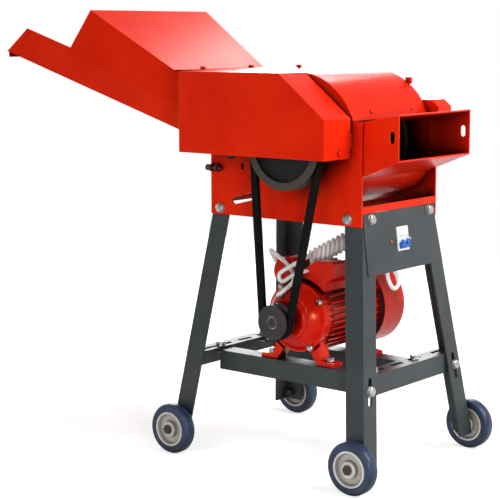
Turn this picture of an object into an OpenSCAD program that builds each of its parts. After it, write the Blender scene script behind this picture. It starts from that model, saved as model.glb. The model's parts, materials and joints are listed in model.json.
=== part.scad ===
// Small electric fodder chopper on a wheeled angle-iron stand.
// Origin: centre of the footprint, on the floor. +X points to the discharge chute,
// -Y is the belt side, +Z is up. All sizes are in millimetres.

/* [Cutting body] */
// Width over the two side plates
body_w = 248; // [230:2:262]
// Thickness of the side plates
plate_t = 4; // [3:0.5:5]
// Height of the side plates' lower edge above the floor
body_z0 = 470; // [450:5:500]
// Height of the side plates below the seam with the drum cover
body_h = 190; // [186:1:196]
// Distance from the rotor axis to the body's rear edge
body_rear = 222; // [216:1:230]
// Distance from the rotor axis to the body's front edge
body_front = 134; // [130:1:140]
// Height of the rotor axis above the body's lower edge
rotor_rise = 143; // [140:1:146]
// Thickness of folded sheet covers
sheet = 2; // [1.5:0.5:2.5]

/* [Drum cover and chute] */
// Outer radius of the curved drum cover
cover_r = 134; // [131:1:137]
// Distance from the rotor axis back to the cover's centre
cover_back = 10; // [8:1:12]
// Sheet thickness of cover, pan and chute
cover_t = 3; // [2:0.5:3.5]
// Distance from the rotor axis to the chute mouth
chute_reach = 209; // [195:1:225]
// Height of the chute mouth
mouth_h = 84; // [76:1:88]
// Rise of the chute roof from the seam to the mouth
chute_rise = 15; // [10:1:20]
// Slope of the chute floor in degrees
chute_slope = 21.6; // [20:0.2:23]

/* [Feed trough and hood] */
// Slope of the feed trough in degrees
feed_slope = 20; // [17:0.5:22]
// Length of the trough floor outside the body
trough_len = 530; // [480:5:580]
// Height of the trough walls
trough_h = 64; // [58:1:70]
// Half of the hood's width at its feed mouth
hood_half_w = 174; // [165:1:182]
// Distance along the trough to the hood's feed mouth
hood_mouth_s = 345; // [330:1:360]
// Height of the hood's feed mouth above the trough floor
hood_mouth_h = 153; // [146:1:160]
// Outward lean of the trough walls over their height
wall_lean = 8; // [5:1:10]

/* [Cutting rotor and feed rollers] */
// Radius swept by the knives
rotor_r = 112; // [108:1:114]
// Number of knives
knife_count = 3; // [2:1:4]
// Radius of the rotor shaft
shaft_r = 15; // [13:1:17]
// Radius of the feed rollers over their teeth
roller_r = 27; // [24:1:28]
// Number of teeth on a feed roller
roller_teeth = 10; // [8:1:12]
// Radius of the feed roller shafts
roller_shaft_r = 10; // [9:0.5:11]
// Lift of the upper feed roller against its springs
roller_lift = 6; // [4:1:7]

/* [Belt drive] */
// Outer radius of the large pulley
pulley_r = 80; // [72:1:86]
// Outer radius of the motor pulley
motor_pulley_r = 33; // [30:1:38]
// Width of both pulleys
pulley_w = 26; // [24:1:28]
// Top width of the belt
belt_w = 17; // [15:1:18]
// Thickness of the belt
belt_h = 11; // [9:1:12]
// Depth of the belt guard outside the body
guard_depth = 80; // [78:1:90]
// Height of the belt guard
guard_h = 152; // [145:1:160]

/* [Stand and wheels] */
// Flange width of the angle irons
angle_w = 40; // [36:1:44]
// Flange thickness of the angle irons
angle_t = 4; // [3:0.5:5]
// Lengthwise splay of the legs in degrees
splay_x = 7; // [5:0.5:8]
// Sideways splay of the legs in degrees
splay_y = 8.4; // [7:0.2:9]
// Height of the cross beams' top above the floor
beam_z = 202; // [190:1:215]
// Flange width of beams and motor rails
beam_w = 38; // [34:1:42]
// Radius of the wheels over their tyres
wheel_r = 49; // [45:1:54]
// Width of the tyres
tyre_w = 26; // [22:1:30]
// Radius of the rim under the tyre
rim_r = 34; // [30:1:37]

/* [Motor] */
// Height of the motor shaft above its feet
motor_h = 88; // [84:1:92]
// Radius of the stator housing over its fins
stator_r = 72; // [68:1:74]
// Radius of the fan cowl
cowl_r = 82; // [79:1:84]
// Number of cooling fins round the stator
fin_count = 36; // [24:4:44]

/* [Hidden] */
$fn = 64;
fit = 0.05;
seat = 0.2;

// Stations measured from the rotor axis, placed() moves them to the origin.
rotor_z = body_z0 + rotor_rise;
seam_z = body_z0 + body_h;
yo = body_w / 2;
yi = yo - plate_t;
rear_x = -body_rear;
cover_cz = rotor_z - 1;
cover_top = cover_cz + cover_r;
cover_rear = -cover_back - cover_r - 2;
cover_front = -cover_back + sqrt(pow(cover_r, 2) - pow(seam_z - cover_cz, 2));
plate_top = cover_top - cover_t;

// Trough: s runs up the slope from the body, h stands square on the floor.
hood_gap = 0.2;
flare_run = hood_mouth_s - trough_h * tan(feed_slope);
flare = atan((hood_half_w - yi + hood_gap) / flare_run);
throat_half = hood_half_w - hood_mouth_s * tan(flare) - hood_gap;
trough_z = rotor_z - 12.5;
lip_h = 12;
trough_tip_x = rear_x - trough_len * cos(feed_slope);
hood_low_x = -303;

// Stand
leg_top = seam_z - 167;
leg_y = yi - 0.2;
function leg_dx(z) = (body_z0 - z) * tan(splay_x);
function leg_dy(z) = (body_z0 - z) * tan(splay_y) / cos(splay_x);
axle_x_front = 172.5;
axle_x_rear = -259;
axle_r = 5;
wheel_y = leg_y + leg_dy(wheel_r) + tyre_w / 2 + 4;
rail_z = beam_z - angle_t;
rail_near_y = -114;
rail_far_y = 22;
beam_front_x = body_front + leg_dx(beam_z) - angle_t / cos(splay_x) - 0.3;
beam_rear_x = rear_x - leg_dx(beam_z) + angle_t / cos(splay_x) + 0.3;
beam_half = leg_y + leg_dy(beam_z) - angle_t - 0.9;

rotor_x = (-trough_tip_x - axle_x_front - wheel_r) / 2;

// Belt and motor
belt_y = -171;
motor_x = -24;
motor_z = rail_z + motor_h;
belt_proud = 2;
motor_front = -100;
motor_rear = 68;
cowl_end = 142;
foot_half = 69;
foot_ys = [-93, 40];
motor_shaft_r = 12;
bore_r = 36.3;

// Feed rollers and their gears
feed_x = -rotor_r - 60;
lower_z = rotor_z - 21;
upper_z = lower_z + 64;
roller_half = yi - 26;
long_m = 4;
long_z = 16;
gear_m = 2.5;
pinion_z = 14;
idler_z = 64;
feed_z = 48;
d_rotor_idler = gear_m * (pinion_z + idler_z) / 2;
d_idler_feed = gear_m * (pinion_z + feed_z) / 2;
d_rotor_feed = norm([feed_x, lower_z - rotor_z]);
feed_angle = atan2(lower_z - rotor_z, feed_x);
idler_bend = acos((pow(d_rotor_idler, 2) + pow(d_rotor_feed, 2) - pow(d_idler_feed, 2))
    / (2 * d_rotor_idler * d_rotor_feed));
idler_angle = feed_angle - idler_bend;
idler_x = d_rotor_idler * cos(idler_angle);
idler_zc = rotor_z + d_rotor_idler * sin(idler_angle);
plane_a = yo + 3;
plane_b = yo + 17;
plane_c = yo + 29;
gear_w = 10;
cover_y = yo + 46;

red = "#d8140a";
grey = "#3a3d40";
navy = "#2e3f5a";
zinc = "#b8bcc0";
iron = "#2a2b2e";

// Helpers: machine frame to part frame, and plates drawn in the X-Z plane.
module placed() { translate([rotor_x, 0, 0]) children(); }

module xz(y0, y1) {
    translate([0, y1, 0]) rotate([90, 0, 0]) linear_extrude(y1 - y0) children();
}

module y_disc(r, y0, y1) { xz(y0, y1) circle(r); }

module y_at(x, z) { translate([x, 0, z]) children(); }

module mirror_y() {
    children();
    mirror([0, 1, 0]) children();
}

// Slot with round ends, length end to end
module slot2(len, w) {
    for (s = [-1, 1]) translate([s * (len - w) / 2, 0]) circle(w / 2);
    square([len - w, w], center = true);
}

// Involute gear outline, tooth centred on +X when phase is 0
function inv_deg(a) = tan(a) * 180 / PI - a;
function flank(r, rb) = r <= rb ? 0 : inv_deg(acos(rb / r));
function gear_points(m, z, phase) =
    let (rp = m * z / 2, rb = rp * cos(20), ra = rp + 0.9 * m, rf = rp - 1.2 * m,
         half = 90 / z * 0.93 + inv_deg(20))
    [for (i = [0:z - 1])
        for (p = [[rf, -1], [rp, -1], [ra, -1], [ra, 1], [rp, 1], [rf, 1]])
            let (a = phase + 360 * i / z + p[1] * (half - flank(p[0], rb)))
            p[0] * [cos(a), sin(a)]];

module gear(m, z, phase, y0, y1) { xz(y0, y1) polygon(gear_points(m, z, phase)); }

// Phase of a gear that meshes with one at phase p1, seen along the centre line t
function mesh_phase(p1, z1, z2, t) = t + 180 + (t - p1) * z1 / z2 + 180 / z2;

idler_phase = mesh_phase(0, pinion_z, idler_z, idler_angle);
idler_feed_angle = atan2(lower_z - idler_zc, feed_x - idler_x);
feed_phase = mesh_phase(idler_phase, pinion_z, feed_z, idler_feed_angle);
upper_phase = mesh_phase(feed_phase, long_z, long_z, 90);

// Tube swept along points, with flat ends
function unit(v) = v / norm(v);
function tangent(p, i) =
    unit(p[min(i + 1, len(p) - 1)] - p[max(i - 1, 0)]);
function side_vec(t, n) = unit(n - t * (n * t));
function frames(p, i = 0, n = [0, 0.02, 1], acc = []) =
    i == len(p) ? acc
    : let (t = tangent(p, i), u = side_vec(t, n))
      frames(p, i + 1, u, concat(acc, [[u, cross(t, u)]]));

module tube(p, r, sides) {
    f = frames(p);
    n = len(p);
    pts = [for (i = [0:n - 1]) for (k = [0:sides - 1])
        let (a = 360 * k / sides) p[i] + r * (cos(a) * f[i][0] + sin(a) * f[i][1])];
    sidesets = [for (i = [0:n - 2]) for (k = [0:sides - 1])
        let (a = i * sides + k, b = i * sides + (k + 1) % sides)
        each [[a, a + sides, b], [b, a + sides, b + sides]]];
    polyhedron(pts, concat([[for (k = [0:sides - 1]) k]],
        [[for (k = [sides - 1:-1:0]) (n - 1) * sides + k]], sidesets));
}

// Bolt along +Z: head and washer above the seat, shank and nut below
module bolt(d, af, head, shank, nut) {
    cylinder(r = af * 0.62, h = 1.5);
    cylinder(r = af / 2 / cos(30), h = 1.5 + head, $fn = 6);
    translate([0, 0, -shank]) cylinder(r = d / 2, h = shank + 1);
    if (nut > 0) translate([0, 0, -shank]) cylinder(r = af / 2 / cos(30), h = nut, $fn = 6);
}

// Cutting body
side_bolt_x = [rear_x + 24, body_front - 30];
panel_bolt_y = yi - 24;
bolt_z = body_z0 + 12.5;

module side_outline() {
    polygon([[rear_x, body_z0], [body_front, body_z0], [body_front, seam_z],
        [cover_rear, seam_z], [cover_rear, plate_top], [rear_x, plate_top]]);
}

block_half = 18;

module side_holes() {
    y_at(0, rotor_z) y_disc(shaft_r + 6, -yo - 1, yo + 1);
    y_at(feed_x, lower_z) y_disc(roller_shaft_r + 4, -yo - 1, yo + 1);
    xz(-yo - 1, yo + 1) translate([feed_x - block_half - seat, upper_z - block_half - seat])
        square([2 * (block_half + seat), 2 * block_half + roller_lift + 1 + 2 * seat]);
    for (x = side_bolt_x) y_at(x, bolt_z) y_disc(5.2, -yo - 1, yo + 1);
    xz(-yo - 1, yo + 1) translate([-143, 567]) rotate(90) slot2(15, 7);
    xz(-yo - 1, yo + 1) translate([-138, 505]) rotate(14) slot2(64, 14);
}

module side_plate() {
    difference() {
        xz(-yo, -yi) side_outline();
        side_holes();
    }
}

module side_plate_near() { placed() color(red) side_plate(); }

// The far plate is folded round the body's rear, up to the trough floor
rear_fold_z = leg_top - 5;
rear_fold_top = trough_z - 12;

module side_plate_far() {
    placed() color(red) union() {
        difference() {
            mirror([0, 1, 0]) side_plate();
            y_at(idler_x, idler_zc) y_disc(8.05, yi - 1, yo + 1);
        }
        translate([rear_x, -yi, rear_fold_z])
            cube([sheet, yo + yi - 1, rear_fold_top - rear_fold_z]);
    }
}

strip_h = 14;

module front_strip() {
    placed() color(red) {
        translate([body_front - cover_t, -yi, leg_top + 0.5])
            cube([cover_t, 2 * yi, strip_h]);
        translate([body_front - 22, -yi, leg_top + 0.5 + strip_h - cover_t])
            cube([22, 2 * yi, cover_t]);
    }
}

hood_bolt_y = 75;
deck_bolts = [[hood_low_x + 15, hood_bolt_y], [hood_low_x + 15, -hood_bolt_y],
    [cover_rear - 35, 100], [cover_rear - 35, -100]];

module top_plate() {
    placed() color(red) difference() {
        translate([hood_low_x, -yo, plate_top])
            cube([cover_rear - hood_low_x, body_w, cover_t]);
        for (p = deck_bolts) translate([p[0], p[1], plate_top - 1]) cylinder(r = 3.2, h = 9);
    }
}

module cover_profile(r) {
    translate([-cover_back, cover_cz]) circle(r, $fn = 96);
    translate([cover_rear, cover_cz]) square([-cover_back - cover_rear, r]);
}

module above(z, tongue) {
    intersection() {
        children();
        polygon([[cover_rear, z], [cover_front - 6, z], [cover_front + 4, z - tongue],
            [400, z - tongue], [400, 900], [cover_rear, 900]]);
    }
}

module drum_cover() {
    placed() color(red) union() {
        xz(-yo, yo) above(seam_z, 0) difference() {
            cover_profile(cover_r);
            translate([-1, 0]) cover_profile(cover_r - cover_t);
            translate([cover_rear - 1, 0]) square([80, plate_top]);
        }
        for (s = [-1, 1]) translate([0, s * (yo - cover_t / 2), 0])
            xz(-cover_t / 2, cover_t / 2) above(seam_z, 0) cover_profile(cover_r - 0.5);
    }
}

// Pan under the rotor, welded to the beam that carries the bed knife
pan_r = rotor_r + 18;
screen_r = rotor_r + 7;
beam_x1 = -rotor_r - 5;
beam_x0 = beam_x1 - 24;
bed_z = rotor_z + 7;
throw_deg = 26.5;
step_deg = 46;
floor_end_x = pan_r * cos(throw_deg);

module pan_arc(r, deg0, deg1) {
    far = 3 * pan_r;
    xz(-yi, yi) translate([0, rotor_z]) intersection() {
        difference() {
            circle(r, $fn = 96);
            circle(r - cover_t, $fn = 96);
        }
        polygon([[0, 0], far * [cos(deg0), -sin(deg0)], far * [cos((deg0 + deg1) / 2),
            -sin((deg0 + deg1) / 2)], far * [cos(deg1), -sin(deg1)]]);
    }
}

module drum_pan() {
    placed() color(red) union() {
        pan_arc(pan_r, throw_deg, step_deg);
        pan_arc(screen_r, step_deg - 2, 178);
        xz(-yi, yi) translate([0, rotor_z]) rotate(-step_deg) translate([screen_r - 1, 0])
            square([pan_r - screen_r, cover_t]);
        xz(-yi, yi) polygon([[beam_x0, bed_z - 28], [beam_x1, bed_z - 28],
            [beam_x1, bed_z - 8], [beam_x0, bed_z - 8]]);
    }
}

module bed_knife() {
    placed() color(zinc) difference() {
        xz(-yi + 2, yi - 2) polygon([[beam_x0, bed_z - 8], [-rotor_r - 6, bed_z - 8],
            [-rotor_r - 1.5, bed_z], [beam_x0, bed_z]]);
        for (y = [-80, 0, 80]) translate([beam_x0 + 10, y, bed_z - 9]) cylinder(r = 4, h = 20);
    }
}

mouth_z1 = seam_z + chute_rise;
mouth_z0 = mouth_z1 - mouth_h;

function floor_z(x) = mouth_z0 - (chute_reach - x) * tan(chute_slope);
function roof_z(x) = mouth_z1 - (chute_reach - x) * chute_rise / (chute_reach - body_front);

module discharge_chute() {
    x0 = floor_end_x + 3.5;
    wall = [[x0, floor_z(x0)], [chute_reach, mouth_z0], [chute_reach, mouth_z1],
        [cover_front + 1, roof_z(cover_front + 1)]];
    placed() color(red) difference() {
        xz(-yi, yi) polygon(wall);
        xz(-yi + cover_t, yi - cover_t) polygon([
            [x0 - 40, floor_z(x0 - 40) + cover_t / cos(chute_slope)],
            [chute_reach + 9, floor_z(chute_reach + 9) + cover_t / cos(chute_slope)],
            [chute_reach + 9, roof_z(chute_reach + 9) - cover_t],
            [cover_front - 40, roof_z(cover_front - 40) - cover_t]]);
        xz(-yo, yo) translate([chute_reach - 14, (mouth_z0 + mouth_z1) / 2 + 1])
            rotate(90) slot2(21, 10);
    }
}

// Feed trough and hood, drawn in the slope's own frame
module on_slope() {
    translate([rear_x, 0, trough_z]) rotate([0, feed_slope, 0]) mirror([1, 0, 0]) children();
}

// Upright sheet along a flared wall line: points are [s, h], foot at half width w0
module flared_wall(points, w0, t, lean_deg) {
    translate([0, w0, 0]) rotate([0, 0, flare]) rotate([-lean_deg, 0, 0])
        rotate([90, 0, 0]) translate([0, 0, -t]) linear_extrude(t)
            polygon([for (p = points) [p[0] / cos(flare), p[1]]]);
}

trough_in = -18;
floor_half = throat_half - wall_lean;

module feed_trough() {
    lean_deg = atan(wall_lean / trough_h);
    w_in = floor_half + trough_in * tan(flare);
    w_out = floor_half + trough_len * tan(flare);
    placed() color(red) on_slope() union() {
        translate([0, 0, -sheet]) linear_extrude(sheet)
            polygon([[trough_in, -w_in], [trough_len, -w_out], [trough_len, w_out],
                [trough_in, w_in]]);
        mirror_y() flared_wall([[trough_in, -sheet * 0.7], [trough_len, -sheet * 0.7],
            [trough_len - 42, trough_h], [trough_in + trough_h * tan(feed_slope), trough_h]],
            floor_half - sheet, sheet, lean_deg);
        xz(-w_out + 3, w_out - 3) polygon([[trough_len - sheet, -sheet], [trough_len, 0],
            [trough_len - 6, -lip_h], [trough_len - 6 - sheet, -lip_h]]);
    }
}

// World point to slope coordinates
function to_slope(x, z) = let (dx = rear_x - x, dz = z - trough_z)
    [dx * cos(feed_slope) + dz * sin(feed_slope), -dx * sin(feed_slope) + dz * cos(feed_slope)];

hood_low = to_slope(hood_low_x - 0.6, cover_top);
hood_back_top = to_slope(rear_x - 0.6, plate_top - 0.2);
hood_back_foot = to_slope(rear_x - 0.6, trough_z + trough_h + 2);
hood_deck = to_slope(hood_low_x - 0.6, plate_top - 0.2);
hood_lap = trough_h - 12;

module feed_hood() {
    w0 = throat_half + hood_gap;
    deck_half = w0 + hood_low[0] * tan(flare) + sheet;
    mouth_half = w0 + hood_mouth_s * tan(flare) + sheet;
    roof_deg = atan((hood_mouth_h - hood_low[1]) / (hood_mouth_s - hood_low[0]));
    roof_len = (hood_mouth_s - hood_low[0]) / cos(roof_deg);
    placed() color(red) difference() {
        union() {
            on_slope() mirror_y() flared_wall([hood_back_foot, [hood_low[0] - 30, hood_lap],
                [hood_mouth_s + 30, hood_lap], [hood_mouth_s, hood_mouth_h], hood_low,
                hood_deck, hood_back_top], w0, sheet, 0);
            on_slope() translate([hood_low[0], 0, hood_low[1]]) rotate([0, -roof_deg, 0])
                translate([0, 0, -sheet]) linear_extrude(sheet)
                    polygon([[0, -deck_half], [roof_len, -mouth_half],
                        [roof_len, mouth_half], [0, deck_half]]);
            translate([hood_low_x - 0.6 - sheet, -deck_half + 1, plate_top - sheet])
                cube([sheet, 2 * deck_half - 2, 4]);
            translate([0, 0, plate_top - sheet - 0.1]) linear_extrude(sheet)
                polygon([[hood_low_x - 1, -deck_half + 1], [hood_low_x - 1, deck_half - 1],
                    [rear_x - 0.6, yi], [rear_x - 0.6, -yi]]);
        }
        for (s = [-1, 1]) translate([hood_low_x + 15, s * hood_bolt_y, plate_top - 9])
            cylinder(r = 3.2, h = 20);
    }
}

// Belt guard and gear cover: folded boxes, open towards the body
guard_y1 = -yo - 6;
guard_y0 = guard_y1 - guard_depth;
guard_x0 = rear_x - 6;
guard_x1 = 113;
guard_top = cover_top;
guard_z0 = guard_top - guard_h;

module guard_outline(d) {
    polygon([[guard_x0 + d, guard_z0 - d], [guard_x1 - d, guard_z0 - d],
        [guard_x1 - d, guard_top - 80], [guard_x1 - 102 - d * 0.3, guard_top - d],
        [guard_x0 + d, guard_top - d]]);
}

tab = 26;

module guard_tabs() {
    translate([guard_x1 - tab, -yo - sheet, guard_z0 + 20]) cube([tab, sheet, tab]);
    translate([guard_x1 - sheet, guard_y1 - 4, guard_z0 + 20])
        cube([sheet, -yo - guard_y1 + 4, tab]);
    translate([rear_x + 24, -yo - sheet, guard_top - tab]) cube([tab, sheet, tab]);
    translate([rear_x + 24, guard_y1 - 4, guard_top - sheet])
        cube([tab, -yo - guard_y1 + 4, sheet]);
}

module belt_guard() {
    placed() color(red) union() {
        difference() {
            xz(guard_y0, guard_y1) guard_outline(0);
            xz(guard_y0 + sheet, guard_y1 + 1) guard_outline(sheet);
        }
        guard_tabs();
    }
}

gear_x0 = rear_x - 20;
gear_x1 = body_front + 2;
gear_z0 = lower_z - 72;
gear_top = seam_z + 30;
gear_cut_x = body_front - 44;

module gear_outline(d) {
    polygon([[gear_x0 + d, gear_z0 + d], [gear_cut_x - d, gear_z0 + d],
        [gear_cut_x - d, rotor_z - 40], [gear_x1 - d, rotor_z - 12],
        [gear_x1 - d, gear_top - 13 - d / 2], [gear_x1 - 16 - d / 2, gear_top - d],
        [feed_x + 122, gear_top - d], [feed_x + 94, gear_top + 22 - d],
        [gear_x0 + d, gear_top + 22 - d]]);
}

module gear_cover() {
    placed() color(red) union() {
        difference() {
            xz(yo, cover_y) gear_outline(0);
            xz(yo - 1, cover_y - sheet) gear_outline(sheet);
            translate([gear_x0 - 1, yo - 1, trough_z + 40])
                cube([rear_x - gear_x0 + 1.5, 5, 90]);
        }
        xz(yo, yo + sheet) intersection() {
            gear_outline(0);
            translate([cover_rear, seam_z + 1]) square([gear_x1 - cover_rear, 90]);
        }
    }
}

// Stand: legs are cut from a splayed angle iron
leg_slot_z = 178;
slot_y = leg_y + leg_dy(leg_slot_z) - angle_w / 2;
leg_foot = wheel_r - 15;
leg_reach = body_z0 + 130;

module leg() {
    difference() {
        intersection() {
            translate([body_front, -leg_y, body_z0]) rotate([0, -splay_x, 0])
                rotate([-splay_y, 0, 0]) translate([0, 0, -leg_reach]) linear_extrude(leg_reach + 100)
                    difference() {
                        translate([-angle_w, 0]) square([angle_w, angle_w]);
                        translate([-angle_w - 1, angle_t])
                            square([angle_w - angle_t + 1, angle_w]);
                    }
            translate([-500, -500, leg_foot]) cube([1000, 1000, leg_top - leg_foot]);
        }
        translate([body_front, -leg_y, body_z0]) rotate([0, -splay_x, 0])
            rotate([-splay_y, 0, 0]) translate([0, angle_w / 2, leg_slot_z - body_z0 - 4])
                rotate([0, 90, 0]) linear_extrude(30, center = true)
                    slot2(52, 10.4);
        y_at(axle_x_front, wheel_r) y_disc(axle_r + seat, -300, 0);
        y_at(side_bolt_x[1], bolt_z) y_disc(5.2, -300, 0);
        at_panel_bolt(-1) cylinder(r = 5.2, h = 60, center = true);
    }
}

// The rear legs are turned the other way round
module rear_leg() {
    difference() {
        intersection() {
            translate([rear_x, -leg_y, body_z0]) rotate([0, splay_x, 0])
                rotate([-splay_y, 0, 0]) translate([0, 0, -leg_reach]) linear_extrude(leg_reach + 100)
                    difference() {
                        square([angle_w, angle_w]);
                        translate([angle_t, angle_t]) square([angle_w, angle_w]);
                    }
            translate([-500, -500, leg_foot]) cube([1000, 1000, leg_top - leg_foot]);
        }
        y_at(axle_x_rear, wheel_r) y_disc(axle_r + seat, -300, 0);
        y_at(side_bolt_x[0], bolt_z) y_disc(5.2, -300, 0);
    }
}

module leg_front_near() { placed() color(grey) leg(); }
module leg_front_far() { placed() color(grey) mirror([0, 1, 0]) leg(); }
module leg_rear_near() { placed() color(grey) rear_leg(); }
module leg_rear_far() { placed() color(grey) mirror([0, 1, 0]) rear_leg(); }

// Bolt seats on the legs' front faces: panel bolts, and beam bolts in the slots
module on_leg_face(y, z, proud) {
    translate([body_front - (z - body_z0) * tan(splay_x) + proud, y, z])
        rotate([0, 90 - splay_x, 0]) children();
}

module at_panel_bolt(s) { on_leg_face(s * panel_bolt_y, bolt_z, sheet + 0.2) children(); }
module at_slot_bolt(s) { on_leg_face(s * slot_y, leg_slot_z, 0.1) children(); }

// Cross beams with a slotted top flange turned inwards
beam_slot_y = [-125, rail_near_y + beam_w - 1, -15, rail_far_y + beam_w / 2 + 4, 125];

module beam(x, dir) {
    difference() {
        union() {
            translate([dir > 0 ? x : x - angle_t, -beam_half, beam_z - beam_w])
                cube([angle_t, 2 * beam_half, beam_w]);
            translate([dir > 0 ? x : x - beam_w, -beam_half, beam_z - angle_t])
                cube([beam_w, 2 * beam_half, angle_t]);
        }
        for (y = beam_slot_y) translate([x + dir * (beam_w / 2 + 3), y, beam_z - 9])
            rotate(90) linear_extrude(20) slot2(40, 10.4);
        for (s = [-1, 1]) at_slot_bolt(s) cylinder(r = 5.2, h = 60, center = true);
    }
}

module cross_beam_rear() { placed() color(grey) beam(beam_rear_x, 1); }
module cross_beam_front() { placed() color(grey) beam(beam_front_x, -1); }

// Motor rails run under the beams' top flanges
module rail(y, wall_y) {
    x0 = beam_rear_x + angle_t + 0.3;
    x1 = beam_front_x - angle_t - 0.3;
    cut = beam_w - angle_t + 2;
    difference() {
        union() {
            translate([x0, y, rail_z - angle_t]) cube([x1 - x0, beam_w, angle_t]);
            translate([x0 + cut, wall_y, rail_z - beam_w])
                cube([x1 - x0 - 2 * cut, angle_t, beam_w]);
        }
        for (x = [beam_rear_x, beam_front_x]) translate([
            x + (x < 0 ? 1 : -1) * (beam_w / 2 + 3), y + beam_w / 2 + 4, rail_z - 9])
            cylinder(r = 5.2, h = 20);
        for (s = [-1, 1]) for (fy = foot_ys)
            translate([motor_x + s * foot_half, fy, rail_z - 9]) cylinder(r = 4.2, h = 20);
    }
}

module motor_rail_near() { placed() color(grey) rail(rail_near_y, rail_near_y); }
module motor_rail_far() {
    placed() color(grey) rail(rail_far_y, rail_far_y + beam_w - angle_t);
}

// Switch panel lies on the front legs' splayed faces
panel_h = 113;
panel_half = yi - 2;
breaker_w = 36;
breaker_h = 45;
breaker_drop = 55;

module on_panel() {
    translate([body_front, 0, body_z0]) rotate([0, -splay_x, 0])
        translate([0.1, 0, (leg_top - body_z0) / cos(splay_x)]) children();
}

module switch_panel() {
    placed() color(grey) difference() {
        on_panel() union() {
            translate([0, -panel_half, -panel_h]) cube([sheet, 2 * panel_half, panel_h]);
            translate([-12, -46, -panel_h]) cube([12 + sheet, 92, sheet]);
        }
        on_panel() translate([-1, -breaker_w / 2 - seat, -breaker_drop - breaker_h / 2 - seat])
            cube([9, breaker_w + 2 * seat, breaker_h + 2 * seat]);
        for (s = [-1, 1]) at_panel_bolt(s) cylinder(r = 5.2, h = 60, center = true);
    }
}

toggle_pivot = [6, 0, -breaker_drop - 6];

module breaker_body() {
    placed() color("#eceff0") on_panel() difference() {
        union() {
            translate([-58, -18, -breaker_drop - 40]) cube([58, 36, 80]);
            translate([-1, -breaker_w / 2, -breaker_drop - breaker_h / 2])
                cube([10, breaker_w, breaker_h]);
        }
        translate([0.5, -15, toggle_pivot[2] - 12]) cube([12, 30, 24]);
    }
}

module breaker_toggle() {
    placed() color("#0a5fb8") on_panel() translate(toggle_pivot) union() {
        y_disc(4.5, -14.5, 14.5);
        xz(-14.5, 14.5) polygon([[1, -4], [7, -12], [9.5, -10], [4, 0]]);
        for (s = [-1, 1]) xz(s * 8.5 - 4, s * 8.5 + 4)
            polygon([[0, -4], [8, -12], [13.5, -5], [10, -1], [2, 4]]);
    }
}

// Rotor: shaft with its pinion, two discs, knives and the large pulley
housing_t = 22;

module bearing_housings() {
    placed() color(iron) {
        mirror_y() y_at(0, rotor_z) difference() {
            union() {
                xz(-yo - 10, -yo) difference() {
                    union() {
                        square([92, 60], center = true);
                        square([60, 92], center = true);
                        for (a = [45:90:315]) rotate(a) translate([42.4, 0]) circle(16);
                    }
                    for (a = [45:90:315]) rotate(a) translate([46, 0]) circle(5);
                }
                y_disc(34, -yo - housing_t, -yo - 1);
            }
            y_disc(shaft_r + fit, -yo - 40, 0);
        }
        mirror_y() y_at(feed_x, lower_z) difference() {
            union() {
                y_disc(roller_shaft_r + 9, -yi, -roller_half - 3);
                y_disc(roller_shaft_r + 3.9, -yo, -yi + 1);
            }
            y_disc(roller_shaft_r + fit, -yo - 1, 0);
        }
    }
}

shaft_front = belt_y - pulley_w / 2 - 2;
shaft_rear = plane_c + gear_w;

module rotor_shaft() {
    placed() color("silver") y_at(0, rotor_z) union() {
        y_disc(shaft_r, shaft_front, shaft_rear - 1);
        gear(gear_m, pinion_z, 0, plane_c, plane_c + gear_w);
    }
}

disc_y = yi - 36;
disc_t = 8;
knife_half = yi - 8;

module rotor_discs() {
    placed() color(iron) y_at(0, rotor_z) difference() {
        union() {
            for (s = [-1, 1]) xz(s * disc_y - disc_t / 2, s * disc_y + disc_t / 2) difference() {
                circle(rotor_r - 20);
                for (k = [0:knife_count - 1]) rotate(360 * k / knife_count) translate([52, 0])
                    circle(17);
            }
            y_disc(shaft_r + 11, -disc_y, disc_y);
        }
        y_disc(shaft_r, -200, 200);
        for (k = [0:knife_count - 1]) rotate([0, -360 * k / knife_count, 0])
            xz(-knife_half, knife_half) knife_section();
    }
}

module knife_section() {
    rotate(60) polygon([[rotor_r - 34, -6], [rotor_r - 5, 15], [rotor_r - 0.5, 14],
        [rotor_r - 11, 6], [rotor_r - 32, -12]]);
}

module rotor_knives() {
    placed() color("silver") y_at(0, rotor_z)
        for (k = [0:knife_count - 1]) rotate([0, -360 * k / knife_count, 0])
            xz(-knife_half, knife_half) knife_section();
}

// Pulley turned from one profile: rim, vee groove, web and hub
module pulley_body(r, hub, bore, web) {
    b = belt_w / 2 + 0.3;
    floor_r = r + belt_proud - belt_h - 0.8;
    foot = b - (belt_h + 0.8) * tan(19);
    rotate([90, 0, 0]) difference() {
        rotate_extrude($fn = 96) difference() {
            translate([bore, -pulley_w / 2]) square([r - bore, pulley_w]);
            polygon([[floor_r, -foot], [r + belt_proud, -b], [r + 9, -b], [r + 9, b],
                [r + belt_proud, b], [floor_r, foot]]);
            if (web) {
                translate([hub, 5]) square([floor_r - 5 - hub, pulley_w]);
                translate([hub, -5 - pulley_w]) square([floor_r - 5 - hub, pulley_w]);
            }
        }
    }
}

module large_pulley() {
    placed() color(iron) translate([0, belt_y, rotor_z]) pulley_body(pulley_r, 27, shaft_r, true);
}

module motor_pulley() {
    placed() color("#2e2b33") translate([motor_x, belt_y, motor_z])
        pulley_body(motor_pulley_r, 0, motor_shaft_r, false);
}

// Belt: a vee section swept round both pulleys
span = norm([motor_x, motor_z - rotor_z]);
lean = atan2(motor_z - rotor_z, motor_x);
wrap = acos((pulley_r - motor_pulley_r) / span);
arc_n = 20;

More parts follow.
